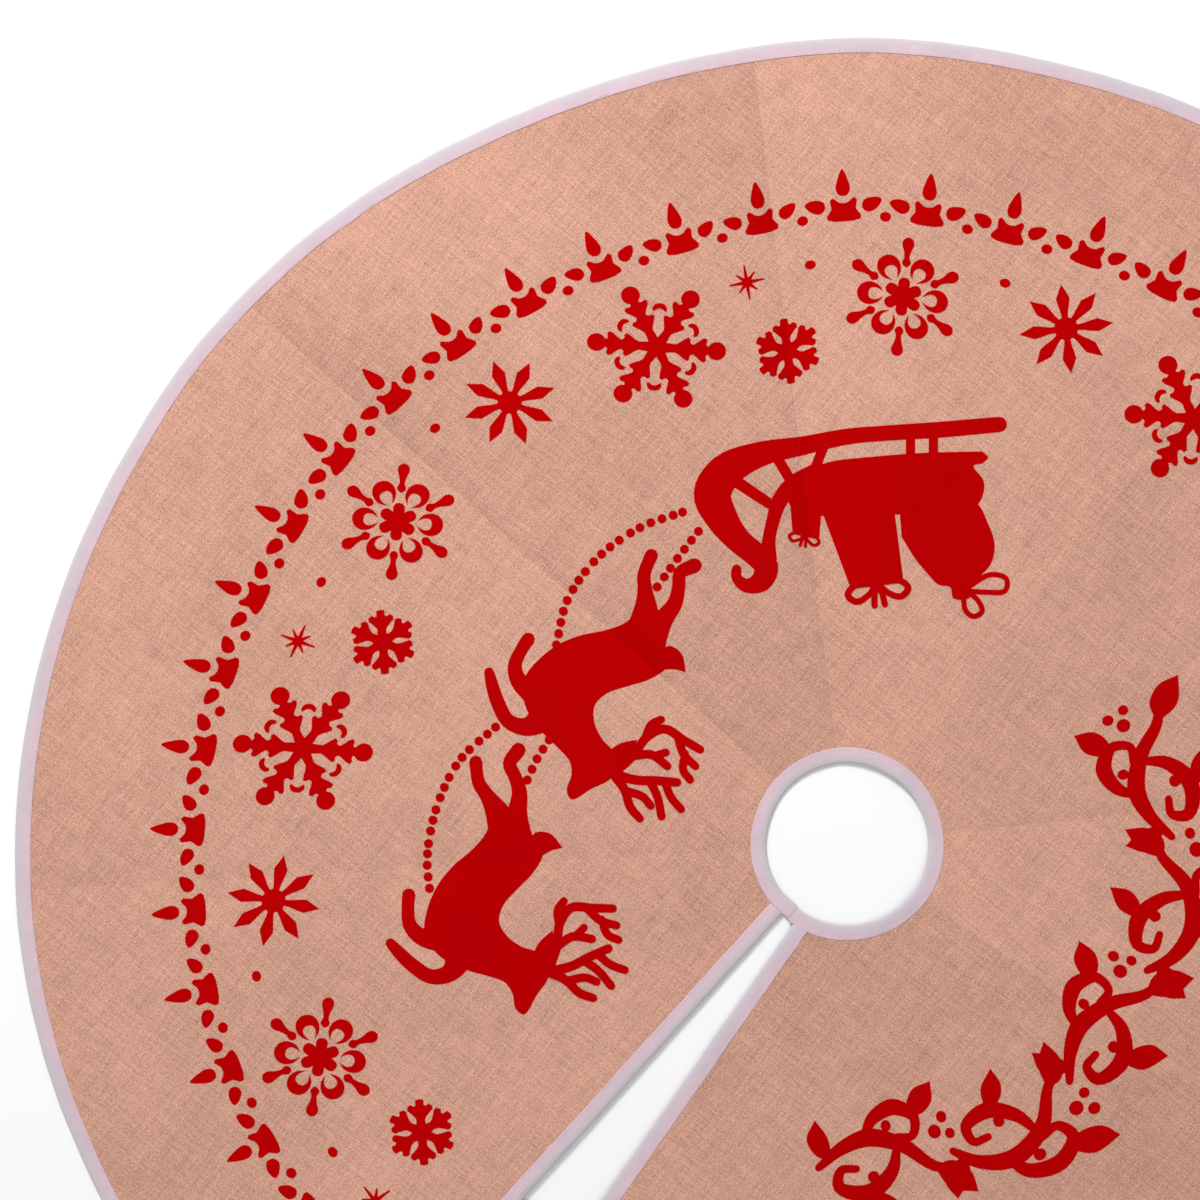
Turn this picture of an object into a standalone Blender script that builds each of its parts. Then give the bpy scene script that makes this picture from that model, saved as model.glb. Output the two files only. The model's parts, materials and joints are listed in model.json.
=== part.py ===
"""Round fabric tree skirt: one cloth disc cut in four along its pressed folds, with bound edges,
a slit at the front, a trunk hole and a pair of ribbon ties.

Metres, +Z up. The origin is on the floor at the middle of the trunk hole. The slit points along -Y,
and the cloth's half fold lies along +Y. The quarter folds split each half at its middle angle.
"""

from math import acos, asin, atan, cos, pi, radians, sin, sqrt

import bmesh
import bpy
from mathutils import Matrix, Vector

# Driving dimensions
RIM_RADIUS = 0.6100
HOLE_RADIUS = 0.0600
SLIT_HALF_GAP = 0.0050
SLIT_SPREAD = 0.0643
TAPE_WIDTH = 0.0118
TAPE_THICKNESS = 0.0005
TAPE_FOLD_THICKNESS = 0.0008
BINDING_HEIGHT = 0.0026
CLOTH_THICKNESS = 0.0010
CLOTH_BOTTOM = 0.0008
THREAD_THICKNESS = 0.0004
THREAD_WIDTH = 0.0005
SEAM_INSET = 0.0014
RIBBON_WIDTH = 0.0100
RIBBON_THICKNESS = 0.0008
RIBBON_LENGTH = 0.1750
RIBBON_START = 0.3510
RIBBON_LEAN = radians(38.6)
RIBBON_END_TURN = radians(-3.7)
RIBBON_BEND_RADIUS = 0.0080
RIBBON_STRAIGHT = 0.0005
TACK_LENGTH = 0.0080
TACK_WIDTH = 0.0020
CLEARANCE = 0.0003
CREASE_GAP = 0.0002
LEFT_HINGE_HEIGHT = 0.0055
RIGHT_HINGE_HEIGHT = 0.0074
HALF_HINGE_HEIGHT = 0.0135

# Angles of the cloth, counted from +X towards +Y
HALF_FOLD_ANGLE = pi / 2
SLIT_ANGLE = 3 * pi / 2 - atan(SLIT_SPREAD)
QUARTER_FOLD_ANGLE = (HALF_FOLD_ANGLE + SLIT_ANGLE) / 2
ARC_SAGITTA = 0.00013
RIBBON_STEPS = 48

MATERIALS = {
    "burlap_cloth": ((0.66, 0.42, 0.30, 1.0), 0.95),
    "binding_tape": ((0.78, 0.66, 0.71, 1.0), 0.80),
    "tie_ribbon": ((0.80, 0.68, 0.73, 1.0), 0.60),
    "sewing_thread": ((0.82, 0.72, 0.76, 1.0), 0.70),
}


def clear_scene():
    """Remove whatever the file already holds."""
    for old in list(bpy.data.objects):
        bpy.data.objects.remove(old, do_unlink=True)


def make_materials():
    """Make one plain Principled material for each kind of cloth."""
    made = {}
    for name, (colour, roughness) in MATERIALS.items():
        material = bpy.data.materials.new(name)
        material.use_nodes = True
        shader = material.node_tree.nodes["Principled BSDF"]
        shader.inputs["Base Color"].default_value = colour
        shader.inputs["Roughness"].default_value = roughness
        shader.inputs["Metallic"].default_value = 0.0
        made[name] = material
    return made


def place(name, mesh_data, material, collection, axis_empty, mirrored=False):
    """Turn a bmesh into a named object under its hinge; a mirrored one is flipped across the YZ plane."""
    if mirrored:
        bmesh.ops.transform(mesh_data, matrix=Matrix.Scale(-1, 4, (1, 0, 0)), verts=mesh_data.verts)
    bmesh.ops.recalc_face_normals(mesh_data, faces=mesh_data.faces)
    mesh = bpy.data.meshes.new(name)
    mesh_data.to_mesh(mesh)
    mesh_data.free()
    mesh.materials.append(material)
    piece = bpy.data.objects.new(name, mesh)
    collection.objects.link(piece)
    if axis_empty:
        hang_on(piece, axis_empty)
    return piece


def hang_on(child, axis_empty):
    """Parent an object to a hinge's empty without moving it."""
    bpy.context.view_layer.update()
    child.parent = axis_empty
    child.matrix_parent_inverse = axis_empty.matrix_world.inverted()


def make_hinges(collection):
    """Make an empty on each fold's axis; the right quarter's hinge turns with the half fold."""
    reach = (HOLE_RADIUS + RIM_RADIUS) / 2
    crease_x = reach * cos(QUARTER_FOLD_ANGLE)
    crease_y = reach * sin(QUARTER_FOLD_ANGLE)
    places = {
        "half_fold_axis": (0.0, reach, HALF_HINGE_HEIGHT),
        "left_quarter_axis": (crease_x, crease_y, LEFT_HINGE_HEIGHT),
        "right_quarter_axis": (-crease_x, crease_y, RIGHT_HINGE_HEIGHT),
    }
    hinges = {}
    for name, location in places.items():
        hinge = bpy.data.objects.new(name, None)
        hinge.location = location
        collection.objects.link(hinge)
        hinges[name] = hinge
    hang_on(hinges["right_quarter_axis"], hinges["half_fold_axis"])
    return {
        ("left", False): None,
        ("left", True): hinges["left_quarter_axis"],
        ("right", False): hinges["half_fold_axis"],
        ("right", True): hinges["right_quarter_axis"],
    }


def slit_half_gap(distance):
    """Return half the width of the V gap at a distance from the trunk hole's middle."""
    return SLIT_HALF_GAP + SLIT_SPREAD * (distance - HOLE_RADIUS)


def slit_frame():
    """Return a point on the left slit edge, its outward direction and the direction into the cloth."""
    start = Vector((-SLIT_HALF_GAP, -HOLE_RADIUS, 0.0))
    outward = Vector((-SLIT_SPREAD, -1.0, 0.0)).normalized()
    inward = Vector((outward.y, -outward.x, 0.0))
    return start, outward, inward


def slit_angle_at(radius, inset):
    """Return the angle at which a circle crosses the line that runs inset from the left slit edge."""
    start, _, inward = slit_frame()
    offset = (start + inward * inset).dot(inward)
    return SLIT_ANGLE - asin(offset / radius)


def arc_steps(radius, first, last):
    """Return how many straight steps keep an arc's chords close to the true arc."""
    step = 2 * acos(1 - ARC_SAGITTA / radius)
    return max(2, round(abs(last - first) / step))


def arc_points(radius, first, last):
    """Return points along an arc, both ends included."""
    steps = arc_steps(radius, first, last)
    angles = [first + (last - first) * i / steps for i in range(steps + 1)]
    return [Vector((radius * cos(a), radius * sin(a), 0.0)) for a in angles]


def extruded_outline(points, bottom, thickness):
    """Return a bmesh slab: a flat outline given a thickness."""
    slab = bmesh.new()
    corners = [slab.verts.new((p.x, p.y, bottom)) for p in points]
    outline = slab.faces.new(corners)
    top = bmesh.ops.extrude_face_region(slab, geom=[outline], use_keep_orig=True)["geom"]
    raised = [v for v in top if isinstance(v, bmesh.types.BMVert)]
    bmesh.ops.translate(slab, vec=(0.0, 0.0, thickness), verts=raised)
    return slab


def binding_section(folded_outwards):
    """Return the (width, height) points of a tape folded over an edge, its fold at width 0."""
    low = TAPE_THICKNESS
    high = BINDING_HEIGHT - TAPE_THICKNESS
    section = [
        (0.0, 0.0),
        (TAPE_WIDTH, 0.0),
        (TAPE_WIDTH, low),
        (TAPE_FOLD_THICKNESS, low),
        (TAPE_FOLD_THICKNESS, high),
        (TAPE_WIDTH, high),
        (TAPE_WIDTH, BINDING_HEIGHT),
        (0.0, BINDING_HEIGHT),
    ]
    side = -1.0 if folded_outwards else 1.0
    return [(side * width, height) for width, height in section]


def thread_section():
    """Return the (width, height) points of a sewn thread that lies on top of a binding."""
    low = BINDING_HEIGHT + CLEARANCE
    high = low + THREAD_THICKNESS
    return [(0.0, low), (THREAD_WIDTH, low), (THREAD_WIDTH, high), (0.0, high)]


def swept_arc(section, radius, first, last):
    """Spin a section about the Z axis, from one angle to the other, as one closed solid."""
    swept = bmesh.new()
    turn = Matrix.Rotation(first, 4, "Z")
    corners = [swept.verts.new(turn @ Vector((radius + width, 0.0, height))) for width, height in section]
    cap = swept.faces.new(corners)
    bmesh.ops.spin(
        swept,
        geom=[cap] + list(cap.verts) + list(cap.edges),
        cent=(0.0, 0.0, 0.0),
        axis=(0.0, 0.0, 1.0),
        dvec=(0.0, 0.0, 0.0),
        angle=last - first,
        steps=arc_steps(radius, first, last),
        use_merge=False,
        use_duplicate=False,
    )
    close_open_end(swept)
    return swept


def close_open_end(swept):
    """Fill an end that the sweep left open."""
    open_edges = [edge for edge in swept.edges if edge.is_boundary]
    if open_edges:
        bmesh.ops.contextual_create(swept, geom=open_edges)


def swept_line(section, start, direction, sideways, length):
    """Extrude a section along a straight line, as one closed solid."""
    swept = bmesh.new()
    rise = Vector((0.0, 0.0, 1.0))
    corners = [swept.verts.new(start + sideways * width + rise * height) for width, height in section]
    cap = swept.faces.new(corners)
    far = bmesh.ops.extrude_face_region(swept, geom=[cap], use_keep_orig=True)["geom"]
    moved = [v for v in far if isinstance(v, bmesh.types.BMVert)]
    bmesh.ops.translate(swept, vec=direction * length, verts=moved)
    return swept


def angle_clear_of_fold(fold_angle, radius, side):
    """Return the angle of the point at a radius that stands just clear of a fold."""
    return fold_angle + side * asin(CREASE_GAP / radius)


def cloth_quarter(is_front):
    """Make a left quarter of the cloth disc, whose edges stop inside the bindings."""
    inner = HOLE_RADIUS + TAPE_FOLD_THICKNESS + CLEARANCE
    outer = RIM_RADIUS - TAPE_FOLD_THICKNESS - CLEARANCE
    inset = TAPE_FOLD_THICKNESS + CLEARANCE
    ends = []
    for radius in (inner, outer):
        if is_front:
            first = angle_clear_of_fold(QUARTER_FOLD_ANGLE, radius, 1)
            last = slit_angle_at(radius, inset)
        else:
            first = angle_clear_of_fold(HALF_FOLD_ANGLE, radius, 1)
            last = angle_clear_of_fold(QUARTER_FOLD_ANGLE, radius, -1)
        ends.append(arc_points(radius, first, last))
    return extruded_outline(ends[0] + ends[1][::-1], CLOTH_BOTTOM, CLOTH_THICKNESS)


def ring_quarter(section, radius, is_front, front_end):
    """Make a left quarter of a ring that follows the rim or the trunk hole."""
    if is_front:
        first = angle_clear_of_fold(QUARTER_FOLD_ANGLE, radius, 1)
        last = front_end
    else:
        first = angle_clear_of_fold(HALF_FOLD_ANGLE, radius, 1)
        last = angle_clear_of_fold(QUARTER_FOLD_ANGLE, radius, -1)
    return swept_arc(section, radius, first, last)


def rim_binding_quarter(is_front):
    """Make a left quarter of the tape round the outer edge."""
    end = slit_angle_at(RIM_RADIUS - TAPE_WIDTH, TAPE_WIDTH + 2 * CLEARANCE)
    return ring_quarter(binding_section(True), RIM_RADIUS, is_front, end)


def hole_binding_quarter(is_front):
    """Make a left quarter of the tape round the trunk hole; it bridges half of the slit."""
    end = 3 * pi / 2 - asin(CLEARANCE / HOLE_RADIUS)
    return ring_quarter(binding_section(False), HOLE_RADIUS, is_front, end)


def rim_seam_quarter(is_front):
    """Make a left quarter of the seam thread near the rim binding's inner edge."""
    radius = RIM_RADIUS - TAPE_WIDTH + SEAM_INSET
    end = slit_angle_at(radius, TAPE_WIDTH + 2 * CLEARANCE)
    return ring_quarter(thread_section(), radius, is_front, end)


def hole_seam_quarter(is_front):
    """Make a left quarter of the seam thread near the hole binding's outer edge."""
    radius = HOLE_RADIUS + TAPE_WIDTH - SEAM_INSET - THREAD_WIDTH
    end = slit_angle_at(radius, 0.0)
    return ring_quarter(thread_section(), radius, is_front, end)


def slit_run():
    """Return where the left slit binding starts, its direction, its sideways direction and its length."""
    start, outward, inward = slit_frame()
    first_distance = HOLE_RADIUS + TAPE_WIDTH + 3 * CLEARANCE
    begin = start + outward * (first_distance - HOLE_RADIUS) / -outward.y
    corner_x = slit_half_gap(RIM_RADIUS) + TAPE_WIDTH
    last_distance = sqrt(RIM_RADIUS**2 - corner_x**2)
    length = (last_distance - first_distance) / -outward.y
    return begin, outward, inward, length


def slit_binding():
    """Make the tape over the left slit edge."""
    begin, outward, inward, length = slit_run()
    return swept_line(binding_section(False), begin, outward, inward, length)


def slit_seam():
    """Make the seam thread along the left slit binding."""
    begin, outward, inward, length = slit_run()
    inset = TAPE_WIDTH - SEAM_INSET - THREAD_WIDTH
    start = begin + inward * inset + outward * CLEARANCE
    return swept_line(thread_section(), start, outward, inward, length - 2 * CLEARANCE)


def ribbon_path():
    """Return the points along the middle of the left ribbon tie, from the slit edge to its free end."""
    _, outward, inward = slit_frame()
    edge = Vector((-slit_half_gap(RIBBON_START), -RIBBON_START, 0.0))
    slope = radians(-90.0) + RIBBON_LEAN
    lead = RIBBON_WIDTH / 2 * abs(cos(RIBBON_LEAN)) / sin(RIBBON_LEAN + atan(SLIT_SPREAD))
    point = edge - inward * CLEARANCE + Vector((cos(slope), sin(slope), 0.0)) * lead
    step = RIBBON_LENGTH / RIBBON_STEPS
    end_slope = radians(-90.0) + RIBBON_END_TURN
    points = [point.copy()]
    for index in range(RIBBON_STEPS):
        travelled = (index + 0.5) * step
        bend = max(0.0, travelled - RIBBON_STRAIGHT) / RIBBON_BEND_RADIUS
        heading = max(end_slope, slope - bend)
        point = point + Vector((cos(heading), sin(heading), 0.0)) * step
        points.append(point.copy())
    return points


def ribbon_tie():
    """Make the left ribbon: a flat strip that lies on the floor in the slit's gap."""
    path = ribbon_path()
    left, right = [], []
    for index, point in enumerate(path):
        before = path[max(0, index - 1)]
        after = path[min(len(path) - 1, index + 1)]
        along = (after - before).normalized()
        across = Vector((-along.y, along.x, 0.0)) * (RIBBON_WIDTH / 2)
        left.append(point + across)
        right.append(point - across)
    return extruded_outline(left + right[::-1], 0.0, RIBBON_THICKNESS)


def tie_tack():
    """Make the bar of close stitches on the binding that holds the left ribbon's root."""
    _, outward, inward = slit_frame()
    edge = Vector((-slit_half_gap(RIBBON_START), -RIBBON_START, 0.0))
    middle = edge + inward * (TAPE_WIDTH / 2 - TACK_WIDTH)
    corners = [
        middle + outward * (TACK_LENGTH / 2 * along) + inward * (TACK_WIDTH / 2 * across)
        for along, across in ((-1, -1), (1, -1), (1, 1), (-1, 1))
    ]
    return extruded_outline(corners, BINDING_HEIGHT + CLEARANCE, THREAD_THICKNESS)


def build():
    """Make every piece of the skirt, on both sides of the half fold."""
    clear_scene()
    materials = make_materials()
    collection = bpy.data.collections.new("tree_skirt")
    bpy.context.scene.collection.children.link(collection)
    hinges = make_hinges(collection)
    quarters = {
        "panel": (cloth_quarter, "burlap_cloth"),
        "rim_binding": (rim_binding_quarter, "binding_tape"),
        "hole_binding": (hole_binding_quarter, "binding_tape"),
        "rim_seam": (rim_seam_quarter, "sewing_thread"),
        "hole_seam": (hole_seam_quarter, "sewing_thread"),
    }
    singles = {
        "slit_binding": (slit_binding, "binding_tape"),
        "slit_seam": (slit_seam, "sewing_thread"),
        "tie_ribbon": (ribbon_tie, "tie_ribbon"),
        "tie_tack": (tie_tack, "sewing_thread"),
    }
    for side, mirrored in (("left", False), ("right", True)):
        for kind, (maker, material) in quarters.items():
            for end, is_front in (("back", False), ("front", True)):
                name = f"{kind}_{end}_{side}"
                hinge = hinges[side, is_front]
                place(name, maker(is_front), materials[material], collection, hinge, mirrored)
        for kind, (maker, material) in singles.items():
            hinge = hinges[side, True]
            place(f"{kind}_{side}", maker(), materials[material], collection, hinge, mirrored)


build()
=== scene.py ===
"""Round burlap tree skirt with bound edges, a printed sleigh team and a snowflake border.

Metres, +Z up, origin on the floor at the middle of the trunk hole, slit along -Y.
"""

import json
import logging
from dataclasses import dataclass, field
from enum import Enum
from math import atan, atan2, ceil, cos, degrees, exp, hypot, pi, radians, sin, sqrt
from typing import Callable, Iterable, Sequence

import bmesh
import bpy
from mathutils import Matrix, Vector, noise

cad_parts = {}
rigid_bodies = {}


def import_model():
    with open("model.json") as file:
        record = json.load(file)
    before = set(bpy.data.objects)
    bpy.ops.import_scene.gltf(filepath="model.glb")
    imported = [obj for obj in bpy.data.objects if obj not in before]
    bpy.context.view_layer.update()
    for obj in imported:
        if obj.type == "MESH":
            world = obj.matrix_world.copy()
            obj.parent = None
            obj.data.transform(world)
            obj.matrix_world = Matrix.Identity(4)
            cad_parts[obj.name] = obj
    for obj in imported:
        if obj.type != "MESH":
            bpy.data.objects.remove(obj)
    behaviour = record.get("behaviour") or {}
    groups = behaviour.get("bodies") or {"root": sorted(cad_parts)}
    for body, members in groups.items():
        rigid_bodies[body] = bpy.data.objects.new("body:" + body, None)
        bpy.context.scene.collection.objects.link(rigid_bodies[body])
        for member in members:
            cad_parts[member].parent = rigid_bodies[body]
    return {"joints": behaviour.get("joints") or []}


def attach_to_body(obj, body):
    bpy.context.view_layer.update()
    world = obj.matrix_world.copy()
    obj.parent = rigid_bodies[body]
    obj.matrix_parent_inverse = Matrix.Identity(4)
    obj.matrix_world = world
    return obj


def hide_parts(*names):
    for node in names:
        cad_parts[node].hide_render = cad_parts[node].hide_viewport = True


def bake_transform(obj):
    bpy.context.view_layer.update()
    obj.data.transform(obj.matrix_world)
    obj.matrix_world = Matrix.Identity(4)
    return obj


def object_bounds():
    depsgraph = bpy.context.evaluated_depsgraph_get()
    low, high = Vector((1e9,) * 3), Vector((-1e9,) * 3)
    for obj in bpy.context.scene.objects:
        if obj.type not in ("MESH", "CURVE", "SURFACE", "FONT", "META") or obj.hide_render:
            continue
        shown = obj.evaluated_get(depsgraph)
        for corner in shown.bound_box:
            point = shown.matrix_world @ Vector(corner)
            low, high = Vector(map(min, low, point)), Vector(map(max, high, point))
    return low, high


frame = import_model()
CAD_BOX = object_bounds()

LOG = logging.getLogger("tree_skirt")
MM = 0.001

# The print and the camera are squared to a direction turned this far from the slit
PRINT_TURN = radians(38.6)

RIM_RADIUS = CAD_BOX[1].y
HOLE_RADIUS = 60.0 * MM
SLIT_HALF_GAP = 5.0 * MM
SLIT_SPREAD = 0.0643
TAPE_WIDTH = 11.8 * MM
CLOTH_THICKNESS = 1.0 * MM
CLOTH_INSET = 0.9 * MM
CENTRE_FROM = -20.0 * MM
CENTRE_TO = 32.0 * MM

Point = tuple[float, ...]


class Body(str, Enum):
    """The four quarters that fold on each other."""

    BACK_LEFT = "back_left_quarter"
    FRONT_LEFT = "front_left_quarter"
    BACK_RIGHT = "back_right_quarter"
    FRONT_RIGHT = "front_right_quarter"


class Slot(str, Enum):
    """The finishes named in the record."""

    CLOTH = "burlap_cloth"
    TAPE = "binding_tape"
    RIBBON = "tie_ribbon"
    THREAD = "sewing_thread"
    INK = "print_ink"


class Side(Enum):
    """The three widths that the cloth and its print are made in."""

    LEFT = -1
    CENTRE = 0
    RIGHT = 1


# ---------------------------------------------------------------- shader nodes


class Value:
    """A socket that takes part in sums written as Python expressions."""

    def __init__(self, tree: bpy.types.NodeTree, socket: bpy.types.NodeSocket) -> None:
        """Keep the tree and the socket."""
        self.tree = tree
        self.socket = socket

    def _math(self, operation: str, *terms: "Value | float") -> "Value":
        """Add a Math node.

        Args:
            operation: The node's operation.
            terms: Its inputs, sockets or numbers.

        Returns:
            The node's result.
        """
        node = self.tree.nodes.new("ShaderNodeMath")
        node.operation = operation
        for slot, term in zip(node.inputs, terms):
            if isinstance(term, Value):
                self.tree.links.new(term.socket, slot)
            else:
                slot.default_value = term
        return Value(self.tree, node.outputs[0])

    def __add__(self, other: "Value | float") -> "Value":
        """Sum."""
        return self._math("ADD", self, other)

    def __sub__(self, other: "Value | float") -> "Value":
        """Difference."""
        return self._math("SUBTRACT", self, other)

    def __rsub__(self, other: float) -> "Value":
        """Difference from a number."""
        return self._math("SUBTRACT", other, self)

    def __mul__(self, other: "Value | float") -> "Value":
        """Product."""
        return self._math("MULTIPLY", self, other)

    def __truediv__(self, other: "Value | float") -> "Value":
        """Quotient."""
        return self._math("DIVIDE", self, other)

    def __pow__(self, other: float) -> "Value":
        """Power."""
        return self._math("POWER", self, other)

    def __abs__(self) -> "Value":
        """Size without sign."""
        return self._math("ABSOLUTE", self)

    __radd__ = __add__
    __rmul__ = __mul__

    def sine(self) -> "Value":
        """Sine."""
        return self._math("SINE", self)

    def cosine(self) -> "Value":
        """Cosine."""
        return self._math("COSINE", self)

    def larger(self, other: "Value") -> "Value":
        """The larger of two values."""
        return self._math("MAXIMUM", self, other)


class Shader:
    """A new material with one Principled shader, and the nodes that feed it."""

    def __init__(self, name: str, **constants: float | tuple) -> None:
        """Make the material.

        Args:
            name: The material's name.
            constants: Principled sockets, with underscores for spaces.
        """
        self.material = bpy.data.materials.new(name)
        self.material.use_nodes = True
        self.tree = self.material.node_tree
        self.principled = self.tree.nodes["Principled BSDF"]
        for socket, value in constants.items():
            self.principled.inputs[socket.replace("_", " ")].default_value = value

    def node(self, kind: str, settings: dict, output: int | str = 0, **inputs: object) -> Value:
        """Add one node.

        Args:
            kind: The node's type.
            settings: Its properties, set first.
            output: Which output to give back.
            inputs: Its sockets' values or links, by name or by number as i0, i1.

        Returns:
            The output asked for.
        """
        made = self.tree.nodes.new(kind)
        for name, value in settings.items():
            setattr(made, name, value)
        for name, value in inputs.items():
            key = int(name[1:]) if name[0] == "i" and name[1:].isdigit() else name.replace("_", " ")
            if isinstance(value, Value):
                self.tree.links.new(value.socket, made.inputs[key])
            else:
                made.inputs[key].default_value = value
        return Value(self.tree, made.outputs[output])

    def noise(self, place: Value, scale: float, detail: float = 2.0, rough: float = 0.5) -> Value:
        """Add a smooth noise.

        Args:
            place: Where it is read.
            scale: Lumps per metre.
            detail: Octaves.
            rough: Strength of the finer octaves.

        Returns:
            A value from 0 to 1.
        """
        inputs = {"Vector": place, "Scale": scale, "Detail": detail, "Roughness": rough}
        return self.node("ShaderNodeTexNoise", {}, **inputs)

    def vector(self, x: Value | float, y: Value | float, z: Value | float = 0.0) -> Value:
        """Join three values."""
        return self.node("ShaderNodeCombineXYZ", {}, X=x, Y=y, Z=z)

    def flat_place(self, place: Value) -> tuple[Value, Value]:
        """Split a flat place into its X and Y."""
        split = self.tree.nodes.new("ShaderNodeSeparateXYZ")
        self.tree.links.new(place.socket, split.inputs[0])
        return Value(self.tree, split.outputs[0]), Value(self.tree, split.outputs[1])

    def mix(self, share: Value, first: tuple | Value, second: tuple | Value) -> Value:
        """Blend two colours.

        Args:
            share: How much of the second, 0 to 1.
            first: The first colour.
            second: The second colour.

        Returns:
            The blended colour.
        """
        return self.node("ShaderNodeMix", {"data_type": "RGBA"}, 2, i0=share, i6=first, i7=second)

    def clamped(self, value: Value) -> Value:
        """Keep a value between 0 and 1."""
        return self.node("ShaderNodeClamp", {}, Value=value, Min=0.0, Max=1.0)

    def feed(self, socket: str, value: Value) -> None:
        """Link a value to a Principled socket."""
        self.tree.links.new(value.socket, self.principled.inputs[socket])

    def bump(self, height: Value, strength: float = 1.0, distance: float = 1.0) -> None:
        """Add relief.

        Args:
            height: The relief, in units of the distance.
            strength: The Bump node's strength.
            distance: The depth in metres of a height of 1.
        """
        made = self.node("ShaderNodeBump", {}, Height=height, Strength=strength, Distance=distance)
        self.feed("Normal", made)


CLOTH_UV = "cloth"
# Name of each point's share of painted grey shade near the tape's outer fold
FOLD_SHADE_SHARE = "fold_shade_share"

# Depths between which the tape's painted grey shade at its outer fold fades out
FOLD_SHADE = (3.2 * MM, 7.2 * MM)

# How far ink creeps past a drawn outline, in millimetres
INK_SPREAD = 0.45


@dataclass(frozen=True)
class Crease:
    """A pressed fold line that runs out from the trunk hole: a ridge or a valley."""

    angle: float
    rise: float
    flank: float = 24.0 * MM
    press: float = 0.03
    sharpness: float = 1.2 * MM
    reach: float = 34.0 * MM
    onset: float = 50.0 * MM

    def direction(self) -> Vector:
        """Return its direction from the middle of the hole."""
        return Vector((cos(radians(self.angle)), sin(radians(self.angle)), 0.0))

    def lift(self, x: float, y: float) -> float:
        """Return how much the crease raises the cloth at a place.

        Args:
            x: Place along X.
            y: Place along Y.

        Returns:
            The rise in metres, negative in a valley.
        """
        way = self.direction()
        along = x * way.x + y * way.y
        if along <= 0.0:
            return 0.0
        off = -x * way.y + y * way.x
        near = sqrt(off * off + self.sharpness**2) - self.sharpness
        return self.rise * exp(-near / self.flank) * min(1.0, along / self.onset)

    def pressed(self, shader: Shader, x: Value, y: Value) -> Value:
        """Return the sharp edge that pressing left in the cloth.

        Args:
            shader: The material that shows it.
            x: Place along X on the cut.
            y: Place along Y on the cut.

        Returns:
            Its relief in metres.
        """
        way = self.direction()
        along = shader.clamped((x * way.x + y * way.y) / self.onset)
        off = abs(y * way.x - x * way.y)
        slope = self.press if self.rise > 0 else -self.press
        return along * ((off / self.reach + 1.0) ** -2.0 * (slope * self.reach / 2))


CREASES = (
    Crease(221.8, -1.2 * MM, press=0.02),
    Crease(176.6, -1.8 * MM, press=0.27),
    Crease(135.4, -1.5 * MM, press=0.30),
    Crease(90.8, 1.2 * MM, press=0.02),
    Crease(44.6, -1.4 * MM, press=0.06),
    Crease(3.4, 1.5 * MM, press=0.16),
    Crease(318.0, -1.2 * MM, press=0.03),
)


def pressed_folds(shader: Shader, place: Value) -> Value:
    """Return the relief of all the pressed fold lines together, in metres."""
    x, y = shader.flat_place(place)
    total = CREASES[0].pressed(shader, x, y)
    for crease in CREASES[1:]:
        total = total + crease.pressed(shader, x, y)
    return total


@dataclass(frozen=True)
class PlainWeave:
    """A plain weave read from the cloth's own flat map."""

    pitch: float
    wander: float = 0.25

    def build(self, shader: Shader) -> dict[str, Value]:
        """Add the weave's nodes.

        Args:
            shader: The material they go in.

        Returns:
            Its height, warp-on-top share, thread streaks and flat place.
        """
        place = shader.node("ShaderNodeUVMap", {"uv_map": CLOTH_UV})
        flat_x, flat_y = shader.flat_place(place)
        sway_x = shader.noise(place, 42.0, 3.0) - 0.5
        sway_y = shader.noise(shader.vector(flat_y + 3.1, flat_x + 1.7), 42.0, 3.0) - 0.5
        across = flat_x / self.pitch + sway_x * (4.0 * self.wander)
        along = flat_y / self.pitch + sway_y * (4.0 * self.wander)
        warp = abs((across * pi).cosine()) ** 0.6
        weft = abs((along * pi).cosine()) ** 0.6
        over = (across * pi).cosine() * (along * pi).cosine()
        height = (warp * (0.62 + 0.38 * over)).larger(weft * (0.62 - 0.38 * over))
        slub_warp = shader.noise(shader.vector(across * 0.72, along * 0.070), 1.0, 3.0, 0.65)
        slub_weft = shader.noise(shader.vector(across * 0.070, along * 0.72, 7.0), 1.0, 3.0, 0.65)
        band_warp = shader.noise(shader.vector(across * 0.21, along * 0.024, 3.0), 1.0, 2.0, 0.6)
        band_weft = shader.noise(shader.vector(across * 0.024, along * 0.21, 11.0), 1.0, 2.0, 0.6)
        return {
            "bands": band_warp + band_weft - 1.0,
            "place": place,
            "height": height,
            "over": over * 0.5 + 0.5,
            "warp": slub_warp,
            "weft": slub_weft,
        }


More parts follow.
